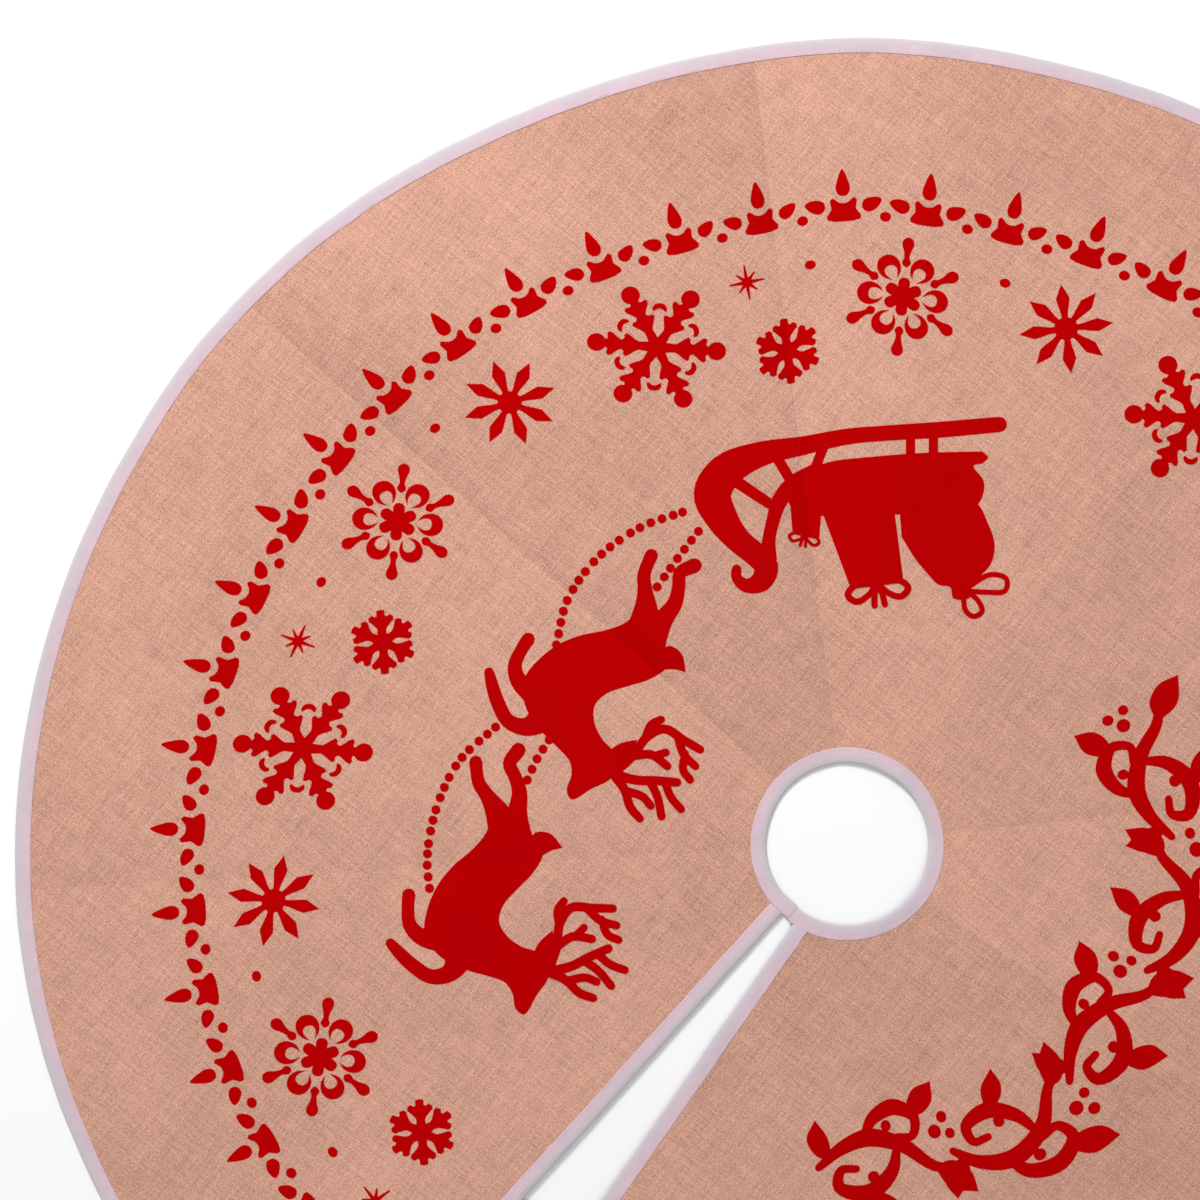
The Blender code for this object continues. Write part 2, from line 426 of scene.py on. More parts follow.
@dataclass(frozen=True)
class BurlapFinish:
    """Loose plain-woven burlap in a warm tan, with uneven threads."""

    light: tuple = (0.800, 0.426, 0.314, 1.0)
    dark: tuple = (0.312, 0.162, 0.110, 1.0)
    weave: PlainWeave = PlainWeave(1.75 * MM)

    def make(self) -> bpy.types.Material:
        """Make the material."""
        shader = Shader("burlap_cloth", Roughness=0.92, Specular_IOR_Level=0.15)
        shader.principled.inputs["Sheen Weight"].default_value = 0.12
        shader.principled.inputs["Sheen Roughness"].default_value = 0.6
        woven = self.weave.build(shader)
        streak = woven["warp"] * woven["over"] + woven["weft"] * (1.0 - woven["over"])
        patch = shader.noise(woven["place"], 5.0, 3.0, 0.55)
        fleck = shader.noise(woven["place"], 620.0, 2.0, 0.7)
        # The lower the weave, the darker the mix: painted shade in the dips between threads; streaks,
        # bands, patches and flecks are the yarn's own uneven colour
        tone = (
            0.42
            + (streak - 0.5) * 1.45
            + woven["bands"] * 0.20
            - (woven["height"] - 0.62) * 0.34
            + (patch - 0.5) * 0.52
            + (fleck - 0.5) * 1.45
        )
        share = shader.clamped(tone)
        shader.feed("Base Color", shader.mix(share, self.light, self.dark))
        relief = woven["height"] + (streak - 0.5) * 0.7 + (fleck - 0.5) * 0.5
        shader.bump(relief * (0.42 * MM) + pressed_folds(shader, woven["place"]))
        return shader.material


@dataclass(frozen=True)
class InkFinish:
    """Matt red ink pressed into the weave."""

    colour: tuple = (0.455, 0.0004, 0.0010, 1.0)
    # Darker red, mixed in for painted shade in the weave's dips and for the print's own mottling
    mottle_and_dip_shade: tuple = (0.375, 0.0004, 0.0014, 1.0)
    weave: PlainWeave = PlainWeave(1.75 * MM)

    def make(self) -> bpy.types.Material:
        """Make the material."""
        shader = Shader("print_ink", Roughness=0.8, Specular_IOR_Level=0.0)
        woven = self.weave.build(shader)
        patch = shader.noise(woven["place"], 14.0, 3.0, 0.6)
        # Where the weave dips the ink goes darker: painted shade; the patches are the print's own mottling
        tone = (1.0 - woven["height"]) * 0.45 + (patch - 0.5) * 1.1 + 0.12
        share = shader.clamped(tone)
        shader.feed("Base Color", shader.mix(share, self.colour, self.mottle_and_dip_shade))
        relief = woven["height"] + (woven["warp"] - 0.5) * 0.4
        shader.bump(relief * (0.10 * MM) + pressed_folds(shader, woven["place"]))
        return shader.material


@dataclass(frozen=True)
class TapeFinish:
    """Fine cotton bias tape, white with a cool pink cast."""

    name: str = "binding_tape"
    light: tuple = (0.69, 0.50, 0.565, 1.0)
    shade: tuple = (0.56, 0.435, 0.49, 1.0)
    # Grey mixed in near the outer fold: painted shade of the tape rolling over its edge; random patches of
    # it elsewhere and on the ribbons
    fold_shade_colour: tuple = (0.56, 0.50, 0.545, 1.0)
    roughness: float = 0.78
    pitch: float = 0.55 * MM
    sheen: float = 0.15

    def make(self) -> bpy.types.Material:
        """Make the material."""
        shader = Shader(self.name, Roughness=self.roughness, Specular_IOR_Level=0.25)
        shader.principled.inputs["Sheen Weight"].default_value = self.sheen
        place = shader.node("ShaderNodeUVMap", {"uv_map": CLOTH_UV})
        flat_x, flat_y = shader.flat_place(place)
        rows = (flat_x * (2 * pi / self.pitch)).sine() * (flat_y * (2 * pi / self.pitch)).sine()
        puckers = shader.noise(place, 95.0, 3.0, 0.6)
        patch = shader.noise(place, 22.0, 2.0, 0.5)
        tone = (puckers - 0.5) * 1.2 + (patch - 0.5) * 1.4 + 0.42
        share = shader.clamped(tone)
        # Towards the outer fold the colour goes grey: painted shade of the rounded edge, broken up by the
        # patches
        depth = shader.node("ShaderNodeAttribute", {"attribute_name": FOLD_SHADE_SHARE}, "Fac")
        fold = shader.clamped(depth + (patch - 0.5) * 0.9)
        flat = shader.mix(share, self.light, self.shade)
        shader.feed("Base Color", shader.mix(fold, flat, self.fold_shade_colour))
        shader.bump(puckers * 1.2 + rows * 0.10, 0.45, 0.45 * MM)
        return shader.material


@dataclass(frozen=True)
class ThreadFinish:
    """Twisted polyester sewing thread."""

    colour: tuple = (0.76, 0.62, 0.67, 1.0)
    shade: tuple = (0.55, 0.42, 0.48, 1.0)

    def make(self) -> bpy.types.Material:
        """Make the material."""
        shader = Shader("sewing_thread", Roughness=0.5, Specular_IOR_Level=0.35)
        place = shader.node("ShaderNodeUVMap", {"uv_map": CLOTH_UV})
        twist = shader.noise(place, 2600.0, 1.0)
        shader.feed("Base Color", shader.mix(twist, self.colour, self.shade))
        shader.bump(twist, 0.3, 0.1 * MM)
        return shader.material


@dataclass(frozen=True)
class FloorFinish:
    """Plain pale studio floor."""

    colour: tuple = (0.93, 0.93, 0.93, 1.0)

    def make(self) -> bpy.types.Material:
        """Make the material."""
        shader = Shader("studio_floor", Roughness=0.9, Specular_IOR_Level=0.1)
        place = shader.node("ShaderNodeTexCoord", {}, "Object")
        grain = shader.noise(place, 3.0, 2.0)
        shader.feed("Base Color", shader.mix(grain, self.colour, (0.915, 0.915, 0.92, 1.0)))
        return shader.material


# ------------------------------------------------------------- how cloth lies


def smooth_share(value: float, first: float, last: float) -> float:
    """Return a smooth share, 0 at first and 1 at last."""
    share = min(max((value - first) / (last - first), 0.0), 1.0)
    return share * share * (3 - 2 * share)


@dataclass(frozen=True)
class RimLobe:
    """A stretch of the rim that lies further out or in than a true circle."""

    angle: float
    reach: float
    push: float

    def at(self, angle: float) -> float:
        """Return how far the rim is pushed out at an angle, in metres."""
        off = abs((angle - radians(self.angle) + pi) % (2 * pi) - pi) / radians(self.reach)
        return self.push * cos(min(off, 1.0) * pi / 2) ** 2


@dataclass
class Lay:
    """How the flat cut lies on the floor after it has been unfolded."""

    lobes: tuple[RimLobe, ...] = (
        RimLobe(144.6, 40.0, -15.5 * MM),
        RimLobe(112.6, 20.0, -7.5 * MM),
        RimLobe(222.6, 40.0, 9.0 * MM),
        RimLobe(330.0, 45.0, 6.0 * MM),
        RimLobe(25.0, 40.0, -6.0 * MM),
    )
    sags: tuple[RimLobe, ...] = (
        RimLobe(125.6, 15.0, 3.2 * MM),
        RimLobe(187.6, 36.0, -3.4 * MM),
        RimLobe(244.6, 30.0, 4.6 * MM),
    )
    drift: float = radians(2.15)
    full_radius: float = 0.83 * RIM_RADIUS
    creases: tuple[Crease, ...] = CREASES
    middle: float = 2.40 * MM
    play: float = 1.62 * MM
    wavy: tuple[float, float] = (0.30, 0.57)
    settled: tuple[float, float] = (0.570, 0.607)

    def spread(self, x: float, y: float) -> tuple[float, float]:
        """Move a point of the flat cut to where it lies, seen from above.

        Args:
            x: Place along X on the cut.
            y: Place along Y on the cut.

        Returns:
            Its place on the floor.
        """
        radius, angle = hypot(x, y), atan2(y, x)
        share, span = (
            min(max((radius - HOLE_RADIUS) / (far - HOLE_RADIUS), 0.0), 1.0)
            for far in (self.full_radius, RIM_RADIUS)
        )
        radius += share * sum(lobe.at(angle) for lobe in self.lobes)
        radius += sin(pi * span**2.2) * sum(sag.at(angle) for sag in self.sags)
        angle += share * self.drift * cos(angle) ** 2
        return radius * cos(angle), radius * sin(angle)

    def height(self, x: float, y: float) -> float:
        """Return how high the cloth's underside lies at a place on the floor."""
        radius, angle = hypot(x, y), atan2(y, x)
        fade = smooth_share(radius, *self.wavy)
        wave = 0.75 * sin(13 * angle + 0.6) + 0.45 * sin(19 * angle + 2.1 + 5.0 * radius)
        slow = noise.noise(Vector((x * 9.0, y * 9.0, 0.3)))
        quick = noise.noise(Vector((x * 26.0, y * 26.0, 5.3)))
        raw = sum(crease.lift(x, y) for crease in self.creases)
        raw += MM * (fade * wave * 0.80 + 0.70 * slow + 0.22 * quick) + 0.30 * MM
        raw -= 1.0 * MM * smooth_share(radius, *self.settled)
        return self.middle + raw / (1.0 + abs(raw / self.play) ** 6) ** (1 / 6)


@dataclass(frozen=True)
class Fold:
    """A fold that two quarters turn on, and the strip of cloth that bends in it."""

    stays: Body
    moves: Body
    start: tuple[float, float]
    across: tuple[float, float]
    before: float
    after: float
    pitch: float

    def normal(self) -> Vector:
        """Return the direction across the fold, towards the part that moves."""
        return Vector((self.across[0], self.across[1], 0.0)).normalized()

    def bend(self, piece: bpy.types.Object) -> None:
        """Bake a piece's transform; the bend's ends and bodies are worked out but not used."""
        base = Vector((self.start[0], self.start[1], 0.0))
        ends = [base + self.normal() * self.before, base + self.normal() * self.after]
        bodies = [self.stays.value, self.moves.value]
        if self.moves is Body.BACK_RIGHT:  # named this way round, a full half turn still goes upwards
            ends.reverse()
            bodies.reverse()
        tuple(ends[0])
        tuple(ends[1])
        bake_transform(piece)

    def cut(self, bm: bmesh.types.BMesh) -> None:
        """Cut a mesh across the strip that bends, close enough to bend well."""
        start = Vector((self.start[0], self.start[1], 0.0))
        count = ceil((self.after - self.before) / self.pitch)
        for k in range(count + 1):
            offset = self.before + (self.after - self.before) * k / count
            cut_line(bm, start + self.normal() * offset, self.normal(), start.normalized(), NEAR_FOLD)


def joint_fold(name: str, before: float, after: float, pitch: float) -> Fold:
    """Read a fold from the joint that it turns on.

    Args:
        name: The joint's name.
        before: Where the bend starts, from the hinge line.
        after: Where it ends, on the side that moves.
        pitch: The step between the cuts that let the cloth bend.

    Returns:
        The fold.
    """
    joint = next(j for j in frame["joints"] if j["name"] == name)
    x, y = joint["pos_m"][:2]
    stays, moves = Body(joint["parent"]), Body(joint["child"])
    axis = Vector(joint["axis"][:2])
    across = Vector((-axis.y, axis.x))
    inside = Vector((1.0, 0.0)) if moves is Body.BACK_RIGHT else Vector((0.0, -1.0))
    if across.dot(inside) < 0:
        across.negate()
    return Fold(stays, moves, (x, y), (across.x, across.y), before, after, pitch)


HALF_FOLD = joint_fold("fold_in_half", 4.0 * MM, 28.0 * MM, 1.8 * MM)
LEFT_FOLD = joint_fold("fold_left_quarter", 0.0, 5.0 * MM, 0.8 * MM)
RIGHT_FOLD = joint_fold("fold_right_quarter", 0.0, 5.0 * MM, 0.8 * MM)
SIDE_FOLD = {Side.LEFT: LEFT_FOLD, Side.CENTRE: HALF_FOLD, Side.RIGHT: RIGHT_FOLD}
FRONT = {Side.LEFT: Body.FRONT_LEFT, Side.RIGHT: Body.FRONT_RIGHT}

# Offsets in millimetres of the cuts along a crease, and how near its faces lie
CREASE_CUTS = (-6.0, -3.0, -1.2, 0.0, 1.2, 3.0, 6.0)
NEAR_CREASE = 10.0 * MM
NEAR_FOLD = 40.0 * MM


# ------------------------------------------------------------- mesh helpers


def parts_of(faces: Sequence[bmesh.types.BMFace]) -> list:
    """Return faces with their edges and points, each once and always in the same order."""
    return list(dict.fromkeys(part for face in faces for part in (*face.verts, *face.edges, face)))


def cut_line(bm: bmesh.types.BMesh, base: Vector, normal: Vector, way: Vector, near: float) -> None:
    """Cut the faces close to a line that runs out from the hole.

    Args:
        bm: The mesh to cut.
        base: A point on the line.
        normal: The direction across the line.
        way: The direction along it, away from the hole.
        near: How far from the line the faces may lie.
    """
    faces = []
    for face in bm.faces:
        offs = [(v.co - base).dot(normal) for v in face.verts]
        ahead = any(v.co.dot(way) > 0.0 for v in face.verts)
        if ahead and min(offs) < near and max(offs) > -near:
            if min(offs) < -1e-7 and max(offs) > 1e-7:
                faces.append(face)
    if not faces:
        return
    bmesh.ops.bisect_plane(bm, geom=parts_of(faces), dist=1e-6, plane_co=base, plane_no=normal)


def cut_to_bend(bm: bmesh.types.BMesh, lay: Lay, side: Side) -> None:
    """Cut a flat mesh along its creases and across the strip that bends.

    Args:
        bm: The mesh, in its place on the floor.
        lay: How the cloth lies.
        side: The width that the mesh belongs to.
    """
    for crease in lay.creases:
        way = crease.direction()
        normal = Vector((-way.y, way.x, 0.0))
        for offset in CREASE_CUTS:
            cut_line(bm, normal * (offset * MM), normal, way, NEAR_CREASE)
    SIDE_FOLD[side].cut(bm)


def thicken(bm: bmesh.types.BMesh, height: Callable[[bmesh.types.BMVert, bool], float]) -> None:
    """Turn a sheet of faces into a thin closed mesh.

    Args:
        bm: The sheet.
        height: Gives a point's height, from the point and whether it lies on top.
    """
    made = bmesh.ops.extrude_face_region(bm, geom=bm.faces[:], use_keep_orig=True)
    top = {v for v in made["geom"] if isinstance(v, bmesh.types.BMVert)}
    for vert in bm.verts:
        vert.co.z = height(vert, vert in top)
    bmesh.ops.recalc_face_normals(bm, faces=bm.faces[:])


def finish_piece(
    bm: bmesh.types.BMesh, name: str, material: bpy.types.Material, slot: Slot, crisp: float = 35.0
) -> bpy.types.Object:
    """Turn a finished bmesh into a named object with the cloth's flat map.

    Args:
        bm: The mesh, freed here.
        name: The piece's name.
        material: Its finish.
        slot: The record's slot for that finish; not used.
        crisp: Edges sharper than this many degrees stay crisp.

    Returns:
        The object, at the origin.
    """
    flat = bm.loops.layers.uv.new(CLOTH_UV)
    for face in bm.faces:
        face.smooth = True
        for loop in face.loops:
            loop[flat].uv = loop.vert.co.xy
    mesh = bpy.data.meshes.new(name)
    bm.to_mesh(mesh)
    bm.free()
    mesh.set_sharp_from_angle(angle=radians(crisp))
    mesh.materials.append(material)
    made = bpy.data.objects.new(name, mesh)
    bpy.context.scene.collection.objects.link(made)
    LOG.info("%s: %d faces", name, len(mesh.polygons))
    return made


def attach(piece: bpy.types.Object, side: Side, body: Body | None = None) -> bpy.types.Object:
    """Ride a piece on one body, or else only bake its transform through its side's fold.

    Args:
        piece: The finished piece.
        side: The width that it belongs to.
        body: The one body it rides on, if it doesn't bend.

    Returns:
        The piece.
    """
    if body is None:
        SIDE_FOLD[side].bend(piece)
    else:
        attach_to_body(piece, body.value)
    return piece


def swept(
    bm: bmesh.types.BMesh,
    stations: Sequence[tuple[float, float, float, float]],
    section: Sequence[Point],
    lay: Lay,
) -> None:
    """Sweep a closed section along a path on the cloth.

    Args:
        bm: The mesh to add to.
        stations: Place and inward direction at each step, as x, y, dx, dy.
        section: Points as distance inward and height over the cloth's underside.
        lay: How the cloth lies.
    """
    fold_shade_share = bm.verts.layers.float.new(FOLD_SHADE_SHARE)
    steps, rows = len(stations) - 1, len(section)
    grid = bmesh.ops.create_grid(bm, x_segments=steps, y_segments=rows, size=0.5)["verts"]
    for vert in grid:
        i = round((vert.co.x + 0.5) * steps)
        j = round((vert.co.y + 0.5) * rows) % rows
        x, y, dx, dy = stations[i]
        inward, rise = section[j]
        px, py = x + dx * inward, y + dy * inward
        vert.co = (px, py, lay.height(px, py) + rise)
        # Share of painted grey shade: full at the tape's outer fold, none past the fold's depths
        vert[fold_shade_share] = 1.0 - smooth_share(inward, *FOLD_SHADE)
    bmesh.ops.remove_doubles(bm, verts=grid, dist=1e-7)
    bmesh.ops.holes_fill(bm, edges=[e for e in bm.edges if e.is_boundary], sides=0)


# ------------------------------------------------------------------ the cloth


def slit_half_gap(distance: float) -> float:
    """Return half the slit's width at a distance from the hole's middle."""
    return SLIT_HALF_GAP + SLIT_SPREAD * (distance - HOLE_RADIUS)


def slit_offset_angle(radius: float, inset: float) -> float:
    """Return how far from the slit's middle a circle meets the line inset from its edge.

    Args:
        radius: The circle's radius.
        inset: How far into the cloth the line lies.

    Returns:
        The angle in radians.
    """
    lean = atan(SLIT_SPREAD)
    zero_gap = SLIT_HALF_GAP - SLIT_SPREAD * HOLE_RADIUS
    offset = zero_gap * cos(lean) + inset
    return lean + offset / radius


def slit_line(side: Side) -> tuple[Vector, Vector, Vector]:
    """Return the slit edge's start, its outward direction and the way into the cloth."""
    sign = side.value
    start = Vector((sign * SLIT_HALF_GAP, -HOLE_RADIUS, 0.0))
    outward = Vector((sign * SLIT_SPREAD, -1.0, 0.0)).normalized()
    return start, outward, Vector((-sign * outward.y, sign * outward.x, 0.0))


@dataclass
class ClothDisc:
    """The burlap disc, made in three widths so that each holds one fold."""

    lay: Lay
    material: bpy.types.Material
    turns: int = 470
    rings: int = 44
    pieces: dict[Side, bpy.types.Object] = field(default_factory=dict)

    def flat_disc(self) -> bmesh.types.BMesh:
        """Return the whole disc as a flat grid, spread to where it lies."""
        bm = bmesh.new()
        verts = bmesh.ops.create_grid(bm, x_segments=self.turns, y_segments=self.rings, size=0.5)
        inner, outer = HOLE_RADIUS + CLOTH_INSET, RIM_RADIUS - CLOTH_INSET
        for vert in verts["verts"]:
            radius = inner + (outer - inner) * (vert.co.y + 0.5)
            half_turn = pi - slit_offset_angle(radius, CLOTH_INSET)
            angle = pi / 2 + 2 * vert.co.x * half_turn
            x, y = self.lay.spread(radius * cos(angle), radius * sin(angle))
            vert.co = (x, y, 0.0)
        return bm

    def side_of(self, face: bmesh.types.BMFace) -> Side:
        """Return the width that a face belongs to."""
        middle = face.calc_center_median()
        if CENTRE_FROM < middle.x < CENTRE_TO and middle.y > 0:
            return Side.CENTRE
        return Side.LEFT if middle.x < 0 else Side.RIGHT

    def make(self) -> None:
        """Make the three widths of cloth."""
        whole = self.flat_disc()
        for edge in (CENTRE_FROM, CENTRE_TO):
            cut_line(whole, Vector((edge, 0, 0)), Vector((1, 0, 0)), Vector((0, 1, 0)), 0.1)
        for side in Side:
            bm = whole.copy()
            spare = [f for f in bm.faces if self.side_of(f) is not side]
            bmesh.ops.delete(bm, geom=spare, context="FACES")
            cut_to_bend(bm, self.lay, side)
            thicken(bm, lambda v, top: self.lay.height(v.co.x, v.co.y) + top * CLOTH_THICKNESS)
            name = f"burlap_{side.name.lower()}"
            made = finish_piece(bm, name, self.material, Slot.CLOTH, 60.0)
            self.pieces[side] = attach(made, side)
        whole.free()
        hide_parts("panel_back_left", "panel_front_left")
        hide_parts("panel_back_right", "panel_front_right")
        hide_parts("panel_back_left", "panel_back_right")


# ---------------------------------------------------------- bindings and seams


@dataclass
class Binding:
    """Folded bias tape over every raw edge, with its line of stitches."""

    lay: Lay
    tape: bpy.types.Material
    thread: bpy.types.Material
    stitch_pitch: float = 3.0 * MM
    stitch_length: float = 2.4 * MM
    seam_inset: float = 10.1 * MM

    # Where the middle width's tapes end, in degrees from the half fold
    rim_strip: dict[Side, float] = field(default_factory=lambda: {Side.LEFT: 2.0, Side.RIGHT: 3.1})
    hole_strip: dict[Side, float] = field(default_factory=lambda: {Side.LEFT: 20.0, Side.RIGHT: 30.0})
    pieces: dict[Side, list[bpy.types.Object]] = field(
        default_factory=lambda: {side: [] for side in Side}
    )

    # The section goes round the folded tape: over the top, round the fold, back below
    section: tuple[Point, ...] = (
        (11.7, 1.20), (11.3, 1.52), (10.0, 1.50), (8.0, 1.66), (5.5, 1.78), (3.0, 1.72),
        (1.3, 1.45), (0.35, 1.00), (0.0, 0.50), (0.3, -0.02), (1.1, -0.38), (3.0, -0.52),
        (6.5, -0.54), (11.2, -0.52), (11.5, -0.28), (11.0, -0.08), (5.0, -0.06), (1.3, -0.04),
        (0.70, 0.50), (1.3, 1.04), (5.0, 1.06), (11.0, 1.06),
    )  # fmt: skip

    def stations(self, path: Iterable[tuple[float, float, float, float]]) -> list[tuple]:
        """Add the small unevenness of a hand-guided tape to a path."""
        out = []
        for x, y, dx, dy in path:
            sway = noise.noise(Vector((x * 34.0, y * 34.0, 2.0))) * 0.45 * MM
            out.append((x + dx * sway, y + dy * sway, dx, dy))
        return out

    def arc(self, radius: float, first: float, last: float, pitch: float, out: bool) -> list:
        """Return stations along a bound circle.

        Args:
            radius: The circle's radius.
            first: The first angle, in radians.
            last: The last angle.
            pitch: The step along the circle.
            out: True for the rim, whose cloth lies inside it.

        Returns:
            The stations, where they lie on the floor.
        """
        count = max(2, ceil(abs(last - first) * radius / pitch))
        sign = -1.0 if out else 1.0
        found = []
        for k in range(count + 1):
            angle = first + (last - first) * k / count
            x, y = self.lay.spread(radius * cos(angle), radius * sin(angle))
            inside = radius + sign * 10 * MM
            nx, ny = self.lay.spread(inside * cos(angle), inside * sin(angle))
            way = Vector((nx - x, ny - y)).normalized()
            found.append((x, y, way.x, way.y))
        return self.stations(found)

    def run(self, side: Side, first: float, last: float, pitch: float) -> list:
        """Return stations along a slit edge between two distances from its start."""
        start, outward, inward = slit_line(side)
        count = max(2, ceil((last - first) / pitch))
        found = []
        for k in range(count + 1):
            place = start + outward * (first + (last - first) * k / count)
            found.append((place.x, place.y, inward.x, inward.y))
        return self.stations(found)

    def stepped(self, stations: list) -> list:
        """Let the last stations drift towards the hole, as a lapped end does."""
        out = []
        for k, (x, y, dx, dy) in enumerate(stations):
            slip = -1.3 * MM * smooth_share(k, len(stations) - 9, len(stations) - 1)
            out.append((x + dx * slip, y + dy * slip, dx, dy))
        return out

    def tape_piece(self, stations: list, name: str, side: Side, bends: bool) -> bpy.types.Object:
        """Sweep the tape along stations and finish it."""
        bm = bmesh.new()
        swept(bm, stations, [(depth * MM, rise * MM) for depth, rise in self.section], self.lay)
        bmesh.ops.recalc_face_normals(bm, faces=bm.faces[:])
        for vert in bm.verts:
            pucker = noise.noise(Vector((vert.co.x * 120.0, vert.co.y * 120.0, 1.0)))
            if vert.co.z > self.lay.height(vert.co.x, vert.co.y) + 1.3 * MM:
                vert.co.z += pucker * 0.16 * MM
        if bends:
            SIDE_FOLD[side].cut(bm)
        return finish_piece(bm, name, self.tape, Slot.TAPE)

    def seam_piece(self, stations: list, name: str) -> bpy.types.Object:
        """Make a row of separate stitches along stations, and finish it."""
        bm = bmesh.new()
        gone, due = 0.0, self.stitch_pitch
        for (x, y, dx, dy), (nx, ny, _, _) in zip(stations, stations[1:]):
            ax, ay = x + dx * self.seam_inset, y + dy * self.seam_inset
            bx, by = nx + dx * self.seam_inset, ny + dy * self.seam_inset
            length = hypot(bx - ax, by - ay)
            while due <= gone + length:
                share = (due - gone) / length
                px, py = ax + (bx - ax) * share, ay + (by - ay) * share
                self.stitch(bm, px, py, atan2(by - ay, bx - ax))
                due += self.stitch_pitch
            gone += length
        return finish_piece(bm, name, self.thread, Slot.THREAD, 80.0)

    def stitch(self, bm: bmesh.types.BMesh, x: float, y: float, heading: float) -> None:
        """Add one stitch, a small lozenge of thread."""
        rise = self.lay.height(x, y) + 1.50 * MM
        place = Matrix.Translation((x, y, rise)) @ Matrix.Rotation(heading, 4, "Z")
        size = Matrix.Diagonal((self.stitch_length / 2, 0.26 * MM, 0.24 * MM, 1.0))
        bmesh.ops.create_icosphere(bm, subdivisions=1, radius=1.0, matrix=place @ size)

    def bound(self, name: str, side: Side, stations: list, nodes: list[str], body: Body | None) -> None:
        """Make a length of tape with its seam, and attach both.

        Args:
            name: What the length binds and where.
            side: The width it belongs to.
            stations: Its path.
            nodes: The ends of the names of the solids it stands for.
            body: The body it rides on, if it doesn't bend.
        """
        tape = self.tape_piece(stations, f"{name}_tape_{side.name.lower()}", side, body is None)
        seam = self.seam_piece(stations, f"{name}_stitches_{side.name.lower()}")
        for piece, kind in ((tape, "binding"), (seam, "seam")):
            attach(piece, side, body)
            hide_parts(*[f"{name}_{kind}_{end}" for end in nodes])
            self.pieces[side].append(piece)

    def make(self) -> None:
        """Bind the rim, the hole and both slit edges."""
        slit_rim = slit_offset_angle(RIM_RADIUS, 4.0 * MM)
        for side in (Side.LEFT, Side.RIGHT):
            word, sign = side.name.lower(), -side.value
            ends = [f"back_{word}", f"front_{word}"]
            first = pi / 2 + sign * radians(self.rim_strip[side])
            last = pi / 2 + sign * (pi - slit_rim)
            self.bound("rim", side, self.arc(RIM_RADIUS, first, last, 5 * MM, True), ends, None)
            first = pi / 2 + sign * radians(self.hole_strip[side])
            last = pi / 2 + sign * (pi - 0.002)
            hole = self.arc(HOLE_RADIUS, first, last, 2.5 * MM, False)
            if side is Side.LEFT:
                hole = self.stepped(hole)
            self.bound("hole", side, hole, ends, None)
            far = RIM_RADIUS - HOLE_RADIUS - 1.5 * MM
            slit = self.run(side, TAPE_WIDTH - 1.5 * MM, far, 5 * MM)
            self.bound("slit", side, slit, [word], FRONT[side])
        for name, strip, radius, pitch in (
            ("rim", self.rim_strip, RIM_RADIUS, 1.8 * MM),
            ("hole", self.hole_strip, HOLE_RADIUS, 1.5 * MM),
        ):
            first, last = pi / 2 - radians(strip[Side.RIGHT]), pi / 2 + radians(strip[Side.LEFT])
            path = self.arc(radius, first, last, pitch, name == "rim")
            self.bound(name, Side.CENTRE, path, ["back_left", "back_right"], None)


# --------------------------------------------------------------------- the ties


